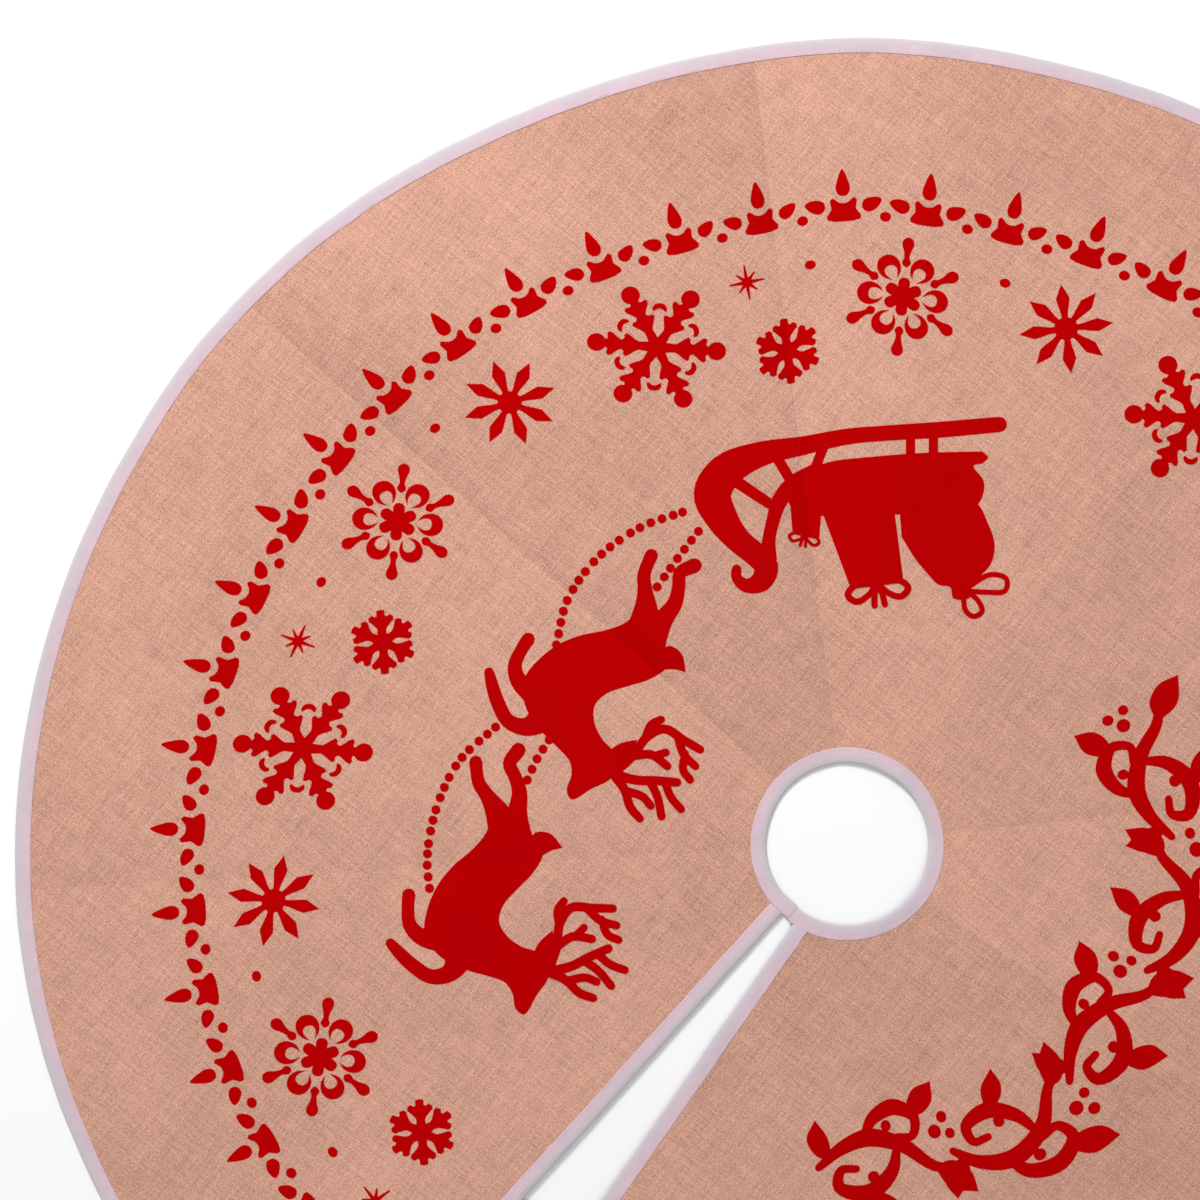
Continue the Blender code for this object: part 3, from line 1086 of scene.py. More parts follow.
@dataclass
class RibbonTies:
    """A pair of satin ribbons sewn to the slit's edges, and their bar tacks."""

    lay: Lay
    ribbon: bpy.types.Material
    thread: bpy.types.Material
    width: float = 10.0 * MM
    length: float = 175.0 * MM
    start: float = 351.0 * MM
    lean: float = PRINT_TURN
    end_turn: float = radians(-3.7)
    bend_radius: float = 8.0 * MM
    straight: float = 0.5 * MM
    thickness: float = 0.35 * MM
    steps: int = 70
    wide_steps: int = 6
    tack_turns: int = 17
    pieces: dict[Side, list[bpy.types.Object]] = field(default_factory=dict)

    def path(self) -> list[Vector]:
        """Return the points along the middle of the left ribbon."""
        _, _, inward = slit_line(Side.LEFT)
        edge = Vector((-slit_half_gap(self.start), -self.start, 0.0))
        slope = -pi / 2 + self.lean
        lead = self.width / 2 * abs(cos(self.lean)) / sin(self.lean + atan(SLIT_SPREAD))
        point = edge + Vector((cos(slope), sin(slope), 0.0)) * lead - inward * 0.3 * MM
        step = self.length / self.steps
        points = [point.copy()]
        for index in range(self.steps):
            bend = max(0.0, (index + 0.5) * step - self.straight) / self.bend_radius
            heading = max(-pi / 2 + self.end_turn, slope - bend)
            point = point + Vector((cos(heading), sin(heading), 0.0)) * step
            points.append(point.copy())
        return points

    def tie(self, side: Side) -> bpy.types.Object:
        """Make one ribbon, softly waved along its length with a cut end."""
        path = self.path()
        bm = bmesh.new()
        made = bmesh.ops.create_grid(bm, x_segments=self.steps, y_segments=self.wide_steps, size=0.5)
        for vert in made["verts"]:
            i = round((vert.co.x + 0.5) * self.steps)
            side_share = vert.co.y * 2
            along = path[min(i + 1, self.steps)] - path[max(i - 1, 0)]
            across = Vector((-along.y, along.x, 0.0)).normalized() * (self.width / 2)
            travelled = self.length * i / self.steps
            slant = 2.2 * MM * side_share if i == self.steps else 0.0
            lift = 1.1 + 0.75 * sin(travelled * 95.0) + 0.35 * sin(travelled * 211.0 + 1.0)
            lift *= min(1.0, 0.35 + travelled / (40 * MM))
            cup = 0.28 * side_share**2
            place = path[i] + across * side_share + along.normalized() * slant
            vert.co = (-side.value * place.x, place.y, (0.12 + lift + cup) * MM)
        thicken(bm, lambda v, top: v.co.z + top * self.thickness)
        name = f"tie_ribbon_on_{side.name.lower()}"
        return finish_piece(bm, name, self.ribbon, Slot.RIBBON, 50.0)

    def tack(self, side: Side) -> bpy.types.Object:
        """Make the close zigzag of thread that holds a ribbon's root."""
        start, outward, inward = slit_line(side)
        middle = start + outward * (self.start - HOLE_RADIUS) + inward * 4.0 * MM
        bm = bmesh.new()
        for k in range(self.tack_turns):
            share = k / (self.tack_turns - 1) - 0.5
            spot = middle + outward * (share * 8.0 * MM)
            heading = atan2(inward.y, inward.x) + (0.22 if k % 2 else -0.22)
            rise = self.lay.height(spot.x, spot.y) + 1.88 * MM
            place = Matrix.Translation((spot.x, spot.y, rise)) @ Matrix.Rotation(heading, 4, "Z")
            size = Matrix.Diagonal((1.25 * MM, 0.24 * MM, 0.24 * MM, 1.0))
            bmesh.ops.create_icosphere(bm, subdivisions=2, radius=1.0, matrix=place @ size)
        return finish_piece(bm, f"bar_tack_{side.name.lower()}", self.thread, Slot.THREAD, 80.0)

    def make(self) -> None:
        """Make both ties with their tacks."""
        for side, body in FRONT.items():
            word = side.name.lower()
            tie = attach(self.tie(side), side, body)
            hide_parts(f"tie_ribbon_{word}")
            tack = attach(self.tack(side), side, body)
            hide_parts(f"tie_tack_{word}")
            self.pieces[side] = [tie, tack]


# -------------------------------------------------------------- print outlines


def between(p0: Point, p1: Point, p2: Point, p3: Point, share: float) -> Point:
    """Return a point on the smooth curve from p1 to p2, with neighbours p0 and p3."""
    knots = [0.0]
    for a, b in ((p0, p1), (p1, p2), (p2, p3)):
        knots.append(knots[-1] + max(hypot(b[0] - a[0], b[1] - a[1]), 1e-6) ** 0.5)
    t = knots[1] + share * (knots[2] - knots[1])

    def step(a: Point, b: Point, ka: float, kb: float) -> Point:
        """Interpolate between two points at their knots."""
        w = (t - ka) / (kb - ka)
        return tuple(u + (v - u) * w for u, v in zip(a, b))

    a1, a2, a3 = step(p0, p1, *knots[0:2]), step(p1, p2, *knots[1:3]), step(p2, p3, *knots[2:4])
    return step(step(a1, a2, knots[0], knots[2]), step(a2, a3, knots[1], knots[3]), *knots[1:3])


def smooth_path(points: Sequence[Point], steps: int = 5) -> list[Point]:
    """Return a smooth open path through points of any dimension."""
    first = tuple(2 * a - b for a, b in zip(points[0], points[1]))
    last = tuple(2 * a - b for a, b in zip(points[-1], points[-2]))
    full = [first, *points, last]
    out = []
    for k in range(1, len(full) - 2):
        out += [between(*full[k - 1 : k + 3], s / steps) for s in range(steps)]
    return [*out, tuple(points[-1])]


def grown(ring: Sequence[Point], amount: float) -> list[Point]:
    """Return an outline moved outwards by an amount, or inwards when it is negative.

    Args:
        ring: The outline's points.
        amount: How far each side moves, in millimetres.

    Returns:
        The moved points, each with its third number if it had one.
    """
    area = sum(a[0] * b[1] - b[0] * a[1] for a, b in zip(ring, [*ring[1:], ring[0]]))
    sign = amount if area > 0 else -amount
    out = []
    for k, point in enumerate(ring):
        before, after = Vector(ring[k - 1][:2]), Vector(ring[(k + 1) % len(ring)][:2])
        here = Vector(point[:2])
        into, away = (here - before).normalized(), (after - here).normalized()
        normal = Vector((into.y + away.y, -into.x - away.x))
        if normal.length < 0.2:
            normal = into - away
        normal.normalize()
        lengthen = 1.0 / max(0.55, normal.dot(Vector((into.y, -into.x))))
        moved = here + normal * sign * lengthen
        out.append((moved.x, moved.y, *point[2:]))
    return out


def loop(*points: Point, steps: int = 5) -> list[Point]:
    """Return a closed outline through points; a third number makes a point a corner.

    Args:
        points: The outline's points, in millimetres.
        steps: Pieces between two points of a curve.

    Returns:
        The outline's corners.
    """
    points = grown(points, INK_SPREAD)
    corners = [k for k, p in enumerate(points) if len(p) > 2]
    flat = [tuple(p[:2]) for p in points]
    count = len(flat)
    if not corners:
        ring = []
        for k in range(count):
            four = [flat[(k + d) % count] for d in (-1, 0, 1, 2)]
            ring += [between(*four, s / steps) for s in range(steps)]
        return ring
    ring = []
    for n, corner in enumerate(corners):
        stop = corners[(n + 1) % len(corners)]
        run = (stop - corner) % count or count
        part = [flat[(corner + d) % count] for d in range(run + 1)]
        ring += (part if run == 1 else smooth_path(part, steps))[:-1]
    return ring


def mirrored(*half: Point) -> list[Point]:
    """Return an outline from its half above the X axis, which starts and ends on that axis."""
    return [*half, *[(x, -y) for x, y in half[-2:0:-1]]]


def stroke(*points: Point, steps: int = 5, caps: int = 5) -> list[Point]:
    """Return the outline of a brush stroke.

    Args:
        points: The middle line's points with the stroke's width, in millimetres.
        steps: Pieces between two points.
        caps: Pieces round each rounded end.

    Returns:
        The outline's corners.
    """
    line = [(x, y, width + 2 * INK_SPREAD) for x, y, width in smooth_path(points, steps)]
    left, right = [], []
    for k, (x, y, width) in enumerate(line):
        ax, ay, _ = line[max(k - 1, 0)]
        bx, by, _ = line[min(k + 1, len(line) - 1)]
        heading = atan2(by - ay, bx - ax)
        nx, ny = -sin(heading) * width / 2, cos(heading) * width / 2
        left.append((x + nx, y + ny))
        right.append((x - nx, y - ny))
        if k in (0, len(line) - 1):
            turn = (pi if k == 0 else -pi) / caps
            cap = [
                (x - sin(heading + turn * c) * width / 2, y + cos(heading + turn * c) * width / 2)
                for c in range(1, caps)
            ]
            start, end = (cap, []) if k == 0 else (start, cap)
    return left + end + right[::-1] + start[::-1]


def dot(x: float, y: float, radius: float, tall: float = 1.0, sides: int = 14) -> list[Point]:
    """Return a round or slightly oval spot."""
    radius += INK_SPREAD
    return [
        (x + radius * cos(2 * pi * k / sides), y + radius * tall * sin(2 * pi * k / sides))
        for k in range(sides)
    ]


def fan(half: Sequence[Point], arms: int) -> list[Point]:
    """Return a closed star outline from half an arm.

    Args:
        half: Points from the notch to the tip, as distance out and distance aside.
        arms: How many arms the star has.

    Returns:
        The outline's corners.
    """
    whole = [(d, -s) for d, s in half]
    whole += [(d, s) for d, s in reversed(half) if s > 1e-6]
    ring = []
    for arm in range(arms):
        turn = 2 * pi * arm / arms
        ring += [(d * cos(turn) - s * sin(turn), d * sin(turn) + s * cos(turn)) for d, s in whole]
    clean = [p for k, p in enumerate(ring) if hypot(p[0] - ring[k - 1][0], p[1] - ring[k - 1][1]) > 0.4]
    return grown(clean, INK_SPREAD)


def placed(outline: Sequence[Point], x: float, y: float, turn: float, scale: float = 1.0) -> list[Point]:
    """Return an outline scaled, turned by degrees and moved."""
    c, s = cos(radians(turn)) * scale, sin(radians(turn)) * scale
    return [(x + px * c - py * s, y + px * s + py * c) for px, py in outline]


Shape = list[list[Point]]


class Motif:
    """One printed figure: outlines in millimetres, each with the holes in it."""

    def __init__(self, shapes: Sequence[Shape | list[Point]] = ()) -> None:
        """Keep the shapes; a bare outline is a shape with no hole."""
        self.shapes: list[Shape] = [s if isinstance(s[0], list) else [s] for s in shapes]

    def placed(self, x: float, y: float, turn: float, scale: float = 1.0) -> "Motif":
        """Return a copy scaled, turned by degrees and moved."""
        return Motif([[placed(ring, x, y, turn, scale) for ring in shape] for shape in self.shapes])

    def polar(self, radius: float, angle: float, turn: float = 0.0, scale: float = 1.0) -> "Motif":
        """Return a copy whose X axis points away from the hole.

        Args:
            radius: Distance from the hole's middle, in millimetres.
            angle: Direction from the hole, in degrees.
            turn: Extra turn, in degrees.
            scale: Size.

        Returns:
            The placed copy.
        """
        x, y = radius * cos(radians(angle)), radius * sin(radians(angle))
        return self.placed(x, y, angle + turn, scale)

    def reach(self) -> tuple[float, float]:
        """Return its least and greatest X."""
        xs = [p[0] for shape in self.shapes for p in shape[0]]
        return min(xs), max(xs)


@dataclass
class Printer:
    """Presses motifs onto the cloth as a thin crisp film of ink."""

    lay: Lay
    material: bpy.types.Material
    film: float = 0.20 * MM
    sunk: float = 0.14 * MM
    stagger: float = 0.012 * MM
    grid: float = 9.0 * MM
    margin: float = 2.0
    pieces: dict[Side, list[bpy.types.Object]] = field(
        default_factory=lambda: {side: [] for side in Side}
    )

    def fill(self, bm: bmesh.types.BMesh, shape: Shape, level: int) -> None:
        """Fill one shape, note its level and cut it into a grid.

        Args:
            bm: The mesh to add to.
            shape: The outline and its holes, in millimetres.
            level: Its place in the order of printing.
        """
        layer = bm.verts.layers.int.new("level")
        verts, edges = [], []
        for ring in shape:
            points = [bm.verts.new((x * MM, y * MM, 0.0)) for x, y in ring]
            edges += [bm.edges.new((a, b)) for a, b in zip(points, points[1:] + points[:1])]
            verts += points
        made = bmesh.ops.triangle_fill(bm, use_beauty=True, use_dissolve=False, edges=edges)
        faces = [g for g in made["geom"] if isinstance(g, bmesh.types.BMFace)]
        low = [min(v.co[k] for v in verts) for k in (0, 1)]
        high = [max(v.co[k] for v in verts) for k in (0, 1)]
        for k in (0, 1):
            normal = Vector((1.0 - k, float(k), 0.0))
            for n in range(1, ceil((high[k] - low[k]) / self.grid)):
                base = normal * (low[k] + n * self.grid)
                parts = parts_of(faces)
                cut = bmesh.ops.bisect_plane(bm, geom=parts, dist=1e-6, plane_co=base, plane_no=normal)
                faces = [g for g in cut["geom"] if isinstance(g, bmesh.types.BMFace)]
        for face in faces:
            for vert in face.verts:
                vert[layer] = level

    def press(self, name: str, motifs: Sequence[Motif], side: Side, spread: bool) -> None:
        """Print motifs as one piece.

        Args:
            name: The piece's name.
            motifs: The motifs, in place on the cut.
            side: The width they lie on.
            spread: Whether they follow the cut as it spreads on the floor.
        """
        bm = bmesh.new()
        bm.verts.layers.int.new("level")
        for motif in motifs:
            for level, shape in enumerate(motif.shapes):
                part = bmesh.new()
                self.fill(part, shape, level)
                spare = bpy.data.meshes.new("spare")
                part.to_mesh(spare)
                part.free()
                bm.from_mesh(spare)
                bpy.data.meshes.remove(spare)
        levels = bm.verts.layers.int["level"]
        if spread:
            for vert in bm.verts:
                vert.co.x, vert.co.y = self.lay.spread(vert.co.x, vert.co.y)
        cut_to_bend(bm, self.lay, side)

        def height(vert: bmesh.types.BMVert, top: bool) -> float:
            """Return a point's height on the cloth."""
            rise = self.film + self.stagger * vert[levels] if top else -self.sunk
            return self.lay.height(vert.co.x, vert.co.y) + CLOTH_THICKNESS + rise

        thicken(bm, height)
        piece = finish_piece(bm, name, self.material, Slot.INK, 40.0)
        self.pieces[side].append(attach(piece, side))

    def press_by_side(self, name: str, motifs: Sequence[Motif], spread: bool) -> None:
        """Share motifs out between the three widths and print each share."""
        shares: dict[Side, list[Motif]] = {side: [] for side in Side}
        for motif in motifs:
            low, high = motif.reach()
            ahead = motif.shapes[0][0][0][1] > 0
            first, last = HALF_FOLD.before / MM - self.margin, HALF_FOLD.after / MM + self.margin
            if ahead and low < last and high > first:
                shares[Side.CENTRE].append(motif)
            else:
                shares[Side.LEFT if low + high < 0 else Side.RIGHT].append(motif)
        for side, found in shares.items():
            if found:
                self.press(f"{name}_{side.name.lower()}", found, side, spread)


def clear_of_slit(radius: float, angle: float, reach: float) -> bool:
    """Return whether a motif lies clear of the slit and its bindings.

    Args:
        radius: Its distance from the hole, in millimetres.
        angle: Its direction in degrees.
        reach: Its own radius, in millimetres.

    Returns:
        True when it can be printed whole.
    """
    off = abs((angle - 270.0 + 180.0) % 360.0 - 180.0)
    edge = degrees(slit_offset_angle(radius * MM, (reach + 13.0) * MM))
    return off > edge


@dataclass
class CandleGarland:
    """The outer border: candle stubs with flames, leaves and berries, in a ring."""

    printer: Printer
    pitch: float = 7.32
    first: float = 98.87
    flame_radius: float = 499.0
    base_radius: float = 478.5
    leaf_radius: float = 482.5
    dot_radius: float = 473.0

    def unit(self) -> Motif:
        """Return one unit round the point where its candle stands, X pointing out."""
        flame = mirrored((9.8, 0), (8.6, 1.0), (2.5, 3.3), (-4.2, 4.8), (-8.6, 3.0), (-9.6, 0))
        flame = loop(*flame, steps=2)
        flame = [(x + self.flame_radius - self.base_radius, y) for x, y in flame]
        stub = loop(
            (8.4, 7.6), (5.4, 4.0), (4.4, 0), (5.4, -4.0), (8.4, -7.6), (6.8, -9.4), (0.5, -8.4),
            (-4.6, -11.8), (-7.2, -11.2),
            (-8.6, 0), (-7.2, 11.2), (-4.6, 11.8), (0.5, 8.4), (6.8, 9.4), steps=2,
        )  # fmt: skip
        return Motif([flame, stub])

    def leaf(self) -> Motif:
        """Return one leaf, its tip along X."""
        blade = loop(
            (7.4, 1.4), (6.6, -0.6), (1.4, -4.0), (-4.8, -4.0), (-7.0, 0.6), (-4.0, 4.8), (1.8, 4.6),
            (6.2, 2.8), steps=2,
        )  # fmt: skip
        return Motif([blade])

    def make(self) -> None:
        """Print the border all round, clear of the slit."""
        unit, leaf = self.unit(), self.leaf()
        berry = Motif([dot(0, 0, 3.35, 1.1, 10)])
        motifs = []
        for k in range(-25, 23):
            angle = self.first + k * self.pitch
            sway = noise.noise(Vector((k * 1.7, 0.5, 0.0)))
            if clear_of_slit(self.base_radius, angle, 12.0):
                motifs.append(unit.polar(self.base_radius, angle, 2.5 * sway))
            for sign in (-1, 1):
                spot = angle + sign * 2.44
                if clear_of_slit(self.leaf_radius, spot, 8.0):
                    turn = sign * (62.0 + 9.0 * sway)
                    motifs.append(leaf.polar(self.leaf_radius, spot, turn, 0.94 + 0.1 * sway))
            if clear_of_slit(self.dot_radius, angle + self.pitch / 2, 4.0):
                motifs.append(berry.polar(self.dot_radius, angle + self.pitch / 2))
        self.printer.press_by_side("candle_garland", motifs, True)


@dataclass
class FlakeBorder:
    """The inner border: four kinds of snowflake and star with small sparkles, repeated."""

    printer: Printer
    period: float = 58.9
    first: float = 148.35

    def barbed_flake(self) -> Motif:
        """Return the large flake: six barbed arms with ball ends, and loose caps between."""
        half = [
            (5.6, 3.2), (13.5, 2.7), (16.5, 4.2), (19.5, 6.6), (22.6, 8.6), (24.0, 7.6), (23.8, 5.4),
            (25.2, 3.6), (27.2, 3.4),
            (30.0, 5.4), (33.0, 8.0), (35.4, 8.9), (36.6, 7.4), (35.8, 4.8), (36.8, 3.0), (38.4, 2.6),
        ]  # fmt: skip
        ball = [(44.4 - 6.5 * cos(radians(a)), 6.5 * sin(radians(a))) for a in range(30, 181, 15)]
        flake = [fan([(5.9, 3.4), *half[1:], *ball], 6)]
        cap = mirrored((33.6, 0), (32.6, 3.4), (29.8, 5.0), (28.4, 4.4), (30.0, 2.0), (30.4, 0))
        cap = loop(*cap, steps=2)
        return Motif([*flake, *[placed(cap, 0, 0, 30 + 60 * k) for k in range(6)]])

    def loop_flake(self) -> Motif:
        """Return the ornate flake: a six-petal heart, six crescents and six wands."""
        petal = [(6.4, 3.7), (9.6, 3.9), (12.0, 3.5), (13.5, 2.2), (14.0, 0.0)]
        wand = mirrored(
            (44.4, 0), (42.6, 3.2), (39.4, 3.9), (34.0, 2.1), (29.0, 1.5), (27.4, 2.3), (25.2, 2.7),
            (22.9, 0),
        )  # fmt: skip
        wand = loop(*wand, steps=3)
        crescent = loop(
            (15.0, 2.4, 1), (18.2, 5.9), (22.6, 7.9), (27.0, 7.8), (31.2, 5.2), (33.1, 0), (31.2, -5.2),
            (27.0, -7.8), (22.6, -7.9),
            (18.2, -5.9), (15.0, -2.4, 1), (18.2, -4.5), (21.2, -5.1), (24.4, -3.9), (25.8, 0),
            (24.4, 3.9), (21.2, 5.1),
            (18.2, 4.5), steps=3,
        )  # fmt: skip
        shapes = [fan(petal, 6)]
        shapes += [placed(wand, 0, 0, 60 * k) for k in range(6)]
        shapes += [placed(crescent, 0, 0, 30 + 60 * k) for k in range(6)]
        return Motif(shapes)

    def petal_star(self) -> Motif:
        """Return the star: eight pointed petals on a round heart."""
        half = [(7.4, 3.05), (8.6, 1.75), (13.0, 2.3), (18.5, 3.6), (23.4, 4.5), (33.6, 0.0)]
        return Motif([fan(half, 8)])

    def small_flake(self) -> Motif:
        """Return the small flake: six arms that end in three square prongs."""
        half = [
            (5.4, 3.1), (9.0, 2.6), (11.5, 3.4), (15.4, 6.9), (17.0, 8.7), (19.2, 8.6), (20.6, 6.6),
            (19.2, 4.2),
            (20.2, 2.6), (24.0, 2.5), (24.6, 0.0),
        ]  # fmt: skip
        return Motif([fan(half, 6)])

    def sparkle(self) -> Motif:
        """Return the sparkle: eight fine rays, long and short in turn."""
        ring = []
        for k in range(8):
            turn = radians(45 * k)
            tip = 13.0 if k % 2 == 0 else 9.4
            for d, s in ((2.9, -1.25), (tip * 0.6, -0.75), (tip, -0.25), (tip, 0.25), (tip * 0.6, 0.75)):
                ring.append((d * cos(turn) - s * sin(turn), d * sin(turn) + s * cos(turn)))
        return Motif([grown(ring, 0.3)])

    def make(self) -> None:
        """Print the repeated border, clear of the slit."""
        spot = Motif([dot(0, 0, 3.0, 1.2, 12)])
        row = (
            (self.barbed_flake(), 0.0, 407.0, 4.5, 51.0),
            (self.petal_star(), 16.05, 420.0, -17.0, 34.0),
            (self.loop_flake(), 32.9, 414.0, -1.0, 45.0),
            (self.small_flake(), 45.3, 377.5, -1.0, 25.0),
            (self.sparkle(), 48.3, 435.5, -1.5, 14.0),
            (spot, 23.2, 440.0, 0.0, 4.0),
            (spot, 42.0, 439.0, 0.0, 4.0),
        )
        motifs = []
        for period in range(-4, 3):
            for motif, step, radius, turn, reach in row:
                angle = self.first + period * self.period + step
                if -86.0 < angle < 266.0 and clear_of_slit(radius, angle, reach):
                    motifs.append(motif.polar(radius, angle, turn))
        self.printer.press_by_side("snowflake_border", motifs, True)


@dataclass
class SleighTeam:
    """A sleigh heaped with a sack and parcels, two leaping deer and their beaded reins."""

    printer: Printer

    def sleigh(self) -> Motif:
        """Return the sleigh facing +X, from the back end of its runner."""
        runner = stroke(
            (5, -1.5, 10.5), (50, 2.5, 11), (90, 5, 10.5), (118, 7.5, 11), (150, 14, 13), (184, 21, 18),
            (208, 33, 25), (218, 50, 27),
            (211, 68, 23), (199, 84, 18), (186, 95, 17), (178, 104, 17), (182, 115, 15),
            (193, 118, 9.5), (200, 112, 7), (200, 106, 6.5),
        )  # fmt: skip
        dash = stroke(
            (142, 34, 12), (158, 43, 12), (168, 55, 11), (173, 70, 9), (176, 84, 9), (177, 98, 13)
        )  # fmt: skip
        struts = [
            stroke((54, 5, 6), (54, 25, 6)),
            stroke((71, 5, 6), (71, 25, 6)),
            stroke((134, 11, 6.5), (142, 32, 6.5)),
            stroke((173, 18, 7), (158, 43, 7)), stroke((200, 41, 8), (176, 57, 7)),
        ]  # fmt: skip
        tub = loop(
            (18, 19, 1), (14, 23), (18, 27, 1), (25, 29), (17, 41), (19, 54), (28, 64, 1), (150, 66, 1),
            (160, 58), (162, 46), (152, 36),
            (132, 27), (100, 23), (60, 20),
        )  # fmt: skip
        sack = loop(
            (79, 58, 1), (24, 56), (14, 72), (9, 88), (12, 102), (21, 112), (27, 119), (28, 127),
            (39, 127), (41, 119), (50, 117), (57, 110),
            (67, 98), (77, 82, 1), steps=4,
        )  # fmt: skip
        ribbons = [
            stroke((30, 122, 3), (15, 123, 3), (1, 122, 3), (0, 113, 3), (12, 110, 3), (28, 119, 3)),
            stroke((32, 124, 3), (30, 137, 3), (24, 141, 3), (18, 137, 3), (22, 128, 3), (31, 122, 3)),
        ]
        box = loop((84, 58, 1), (77, 112, 1), (116, 117, 1), (138, 58, 1))
        parcel = loop((137, 58, 1), (139, 82, 1), (158, 78, 1), (160, 54, 1))
        bows = [*self.bow(96, 115, 7.0, 1.1), *self.bow(149, 80, -12.0, 0.55)]
        return Motif([runner, dash, *struts, tub, sack, *ribbons, box, parcel, *bows])

    def bow(self, x: float, y: float, turn: float, scale: float) -> list[list[Point]]:
        """Return a gift bow whose knot sits at a place, its loops to either side."""
        right = stroke(
            (0, 0, 5), (7, 1, 3.2), (16, 1.5, 3.4), (20.5, 7, 3.6), (15, 12, 3.6), (6, 8, 3.2), (0, 1, 4)
        )  # fmt: skip
        tail = stroke((0, 1, 3.6), (2.5, 8, 3.4), (3.5, 16, 3.4))
        halves = [ring for part in (right, tail) for ring in (part, [(-px, py) for px, py in part])]
        return [placed(half, x, y, turn, scale) for half in (*halves, dot(0, 1.5, 4.2))]

    def deer(self) -> Motif:
        """Return one deer leaping towards +X."""
        trunk = loop(
            (-34, 23), (-19, 23), (-3, 18), (13, 13.5), (26, 16), (33.5, 27), (35.5, 40), (34, 52),
            (38, 62), (48, 67), (62, 65), (79, 63),
            (78, 56), (69, 49), (64, 40), (65, 28), (68, 12), (69, -4), (65, -19), (56, -30), (41, -35),
            (22, -36), (4, -32), (-12, -25),
            (-26, -21), (-42, -20), (-53, -8), (-49, 3), (-41, 12),
        )  # fmt: skip
        legs = [
            stroke((56, -16, 20), (61, -31, 12), (57, -42, 9.5), (46, -49, 8.5), (37.5, -52.5, 9)),
            stroke((60, 2, 22), (76, 0, 13), (84.5, -11, 10), (83, -27, 9.5), (79, -40, 8.5),
            (75.5, -49, 6.5)),
            stroke((-36, -8, 26), (-47, -21, 17), (-54, -32, 10.5), (-60, -42, 9), (-68, -48, 8.5),
            (-73, -51, 9)),
            stroke((-36, 0, 24), (-53, -7, 14), (-67, -12, 10.5), (-76, -20, 9), (-83, -28, 9),
            (-95, -26.5, 10)),
        ]
        tail = loop((-34, 12, 1), (-45, 12), (-49, 22), (-44, 34, 1), (-39, 28), (-30, 22, 1), steps=4)
        ear = loop((36, 50, 1), (26, 50.5), (15, 55, 1), (23, 60.5), (36, 64, 1), steps=4)
        antlers = [
            stroke(
                (42, 65, 6.7), (24, 63, 5.9), (7, 57.5, 5.9), (-7, 60, 5.9), (-14, 75, 5.7), (-20, 88, 5.3)
            ),
            stroke((9, 58, 5.5), (-1, 52, 5.5), (-9, 53, 5.1)),
            stroke((-12, 70, 5.5), (-8, 84, 5.5), (-10, 96, 5.1)),
            stroke((-9, 84, 5.3), (-1, 93, 5.3), (-1, 102, 5.1)),
            stroke((24, 63, 5.5), (12, 70, 5.7), (7, 84, 5.3)),
            stroke((11, 72, 5.1), (2, 75, 4.9)),
            stroke((43, 66, 6.7), (32, 79, 6.1), (20, 88, 5.9), (8, 98, 5.5)),
            stroke((24, 85, 5.5), (26, 98, 5.5), (32, 112, 5.3)),
            stroke((15, 92, 5.5), (18, 104, 5.3), (17, 116, 5.1)),
            stroke((43, 66, 6.7), (43, 80, 5.9), (47, 93, 5.7), (46, 104, 5.3)),
            stroke((43, 81, 5.5), (35, 92, 5.3), (34, 101, 5.1)),
        ]  # fmt: skip
        return Motif([trunk, *legs, tail, ear, *antlers])

    def reins(self) -> list[Motif]:
        """Return the four strings of beads as one motif each, in the cloth's own turn."""
        strings = (
            ((-121, 247), (-154, 235), (-186, 212), (-208, 181), (-216, 148)),
            ((-110, 233), (-124, 215), (-142, 190)),
            ((-260, 88), (-288, 62), (-305, 27), (-312, -10), (-310, -36)),
            ((-221, 78), (-230, 64), (-238, 47)),
        )
        made = []
        for string in strings:
            line = smooth_path(string, 24)
            beads, due, gone = [], 0.0, 0.0
            for (ax, ay), (bx, by) in zip(line, line[1:]):
                gone += hypot(bx - ax, by - ay)
                if gone >= due:
                    beads.append(dot(bx, by, 3.05, 1.0, 10))
                    due += 8.6
            made.append(Motif(beads))
        return made

    def make(self) -> None:
        """Print the sleigh, both deer and the reins."""
        turned = degrees(PRINT_TURN)
        motifs = [
            self.sleigh().polar(331.7, 69.2 + turned, 180.0 - 69.2),
            self.deer().polar(219.3, 143.4 + turned, 215.0 - 143.4),
            self.deer().polar(263.4, 185.9 + turned, 244.0 - 185.9),
        ]
        motifs += [rein.placed(0.0, 0.0, turned) for rein in self.reins()]
        self.printer.press("sleigh_team", motifs, Side.LEFT, False)


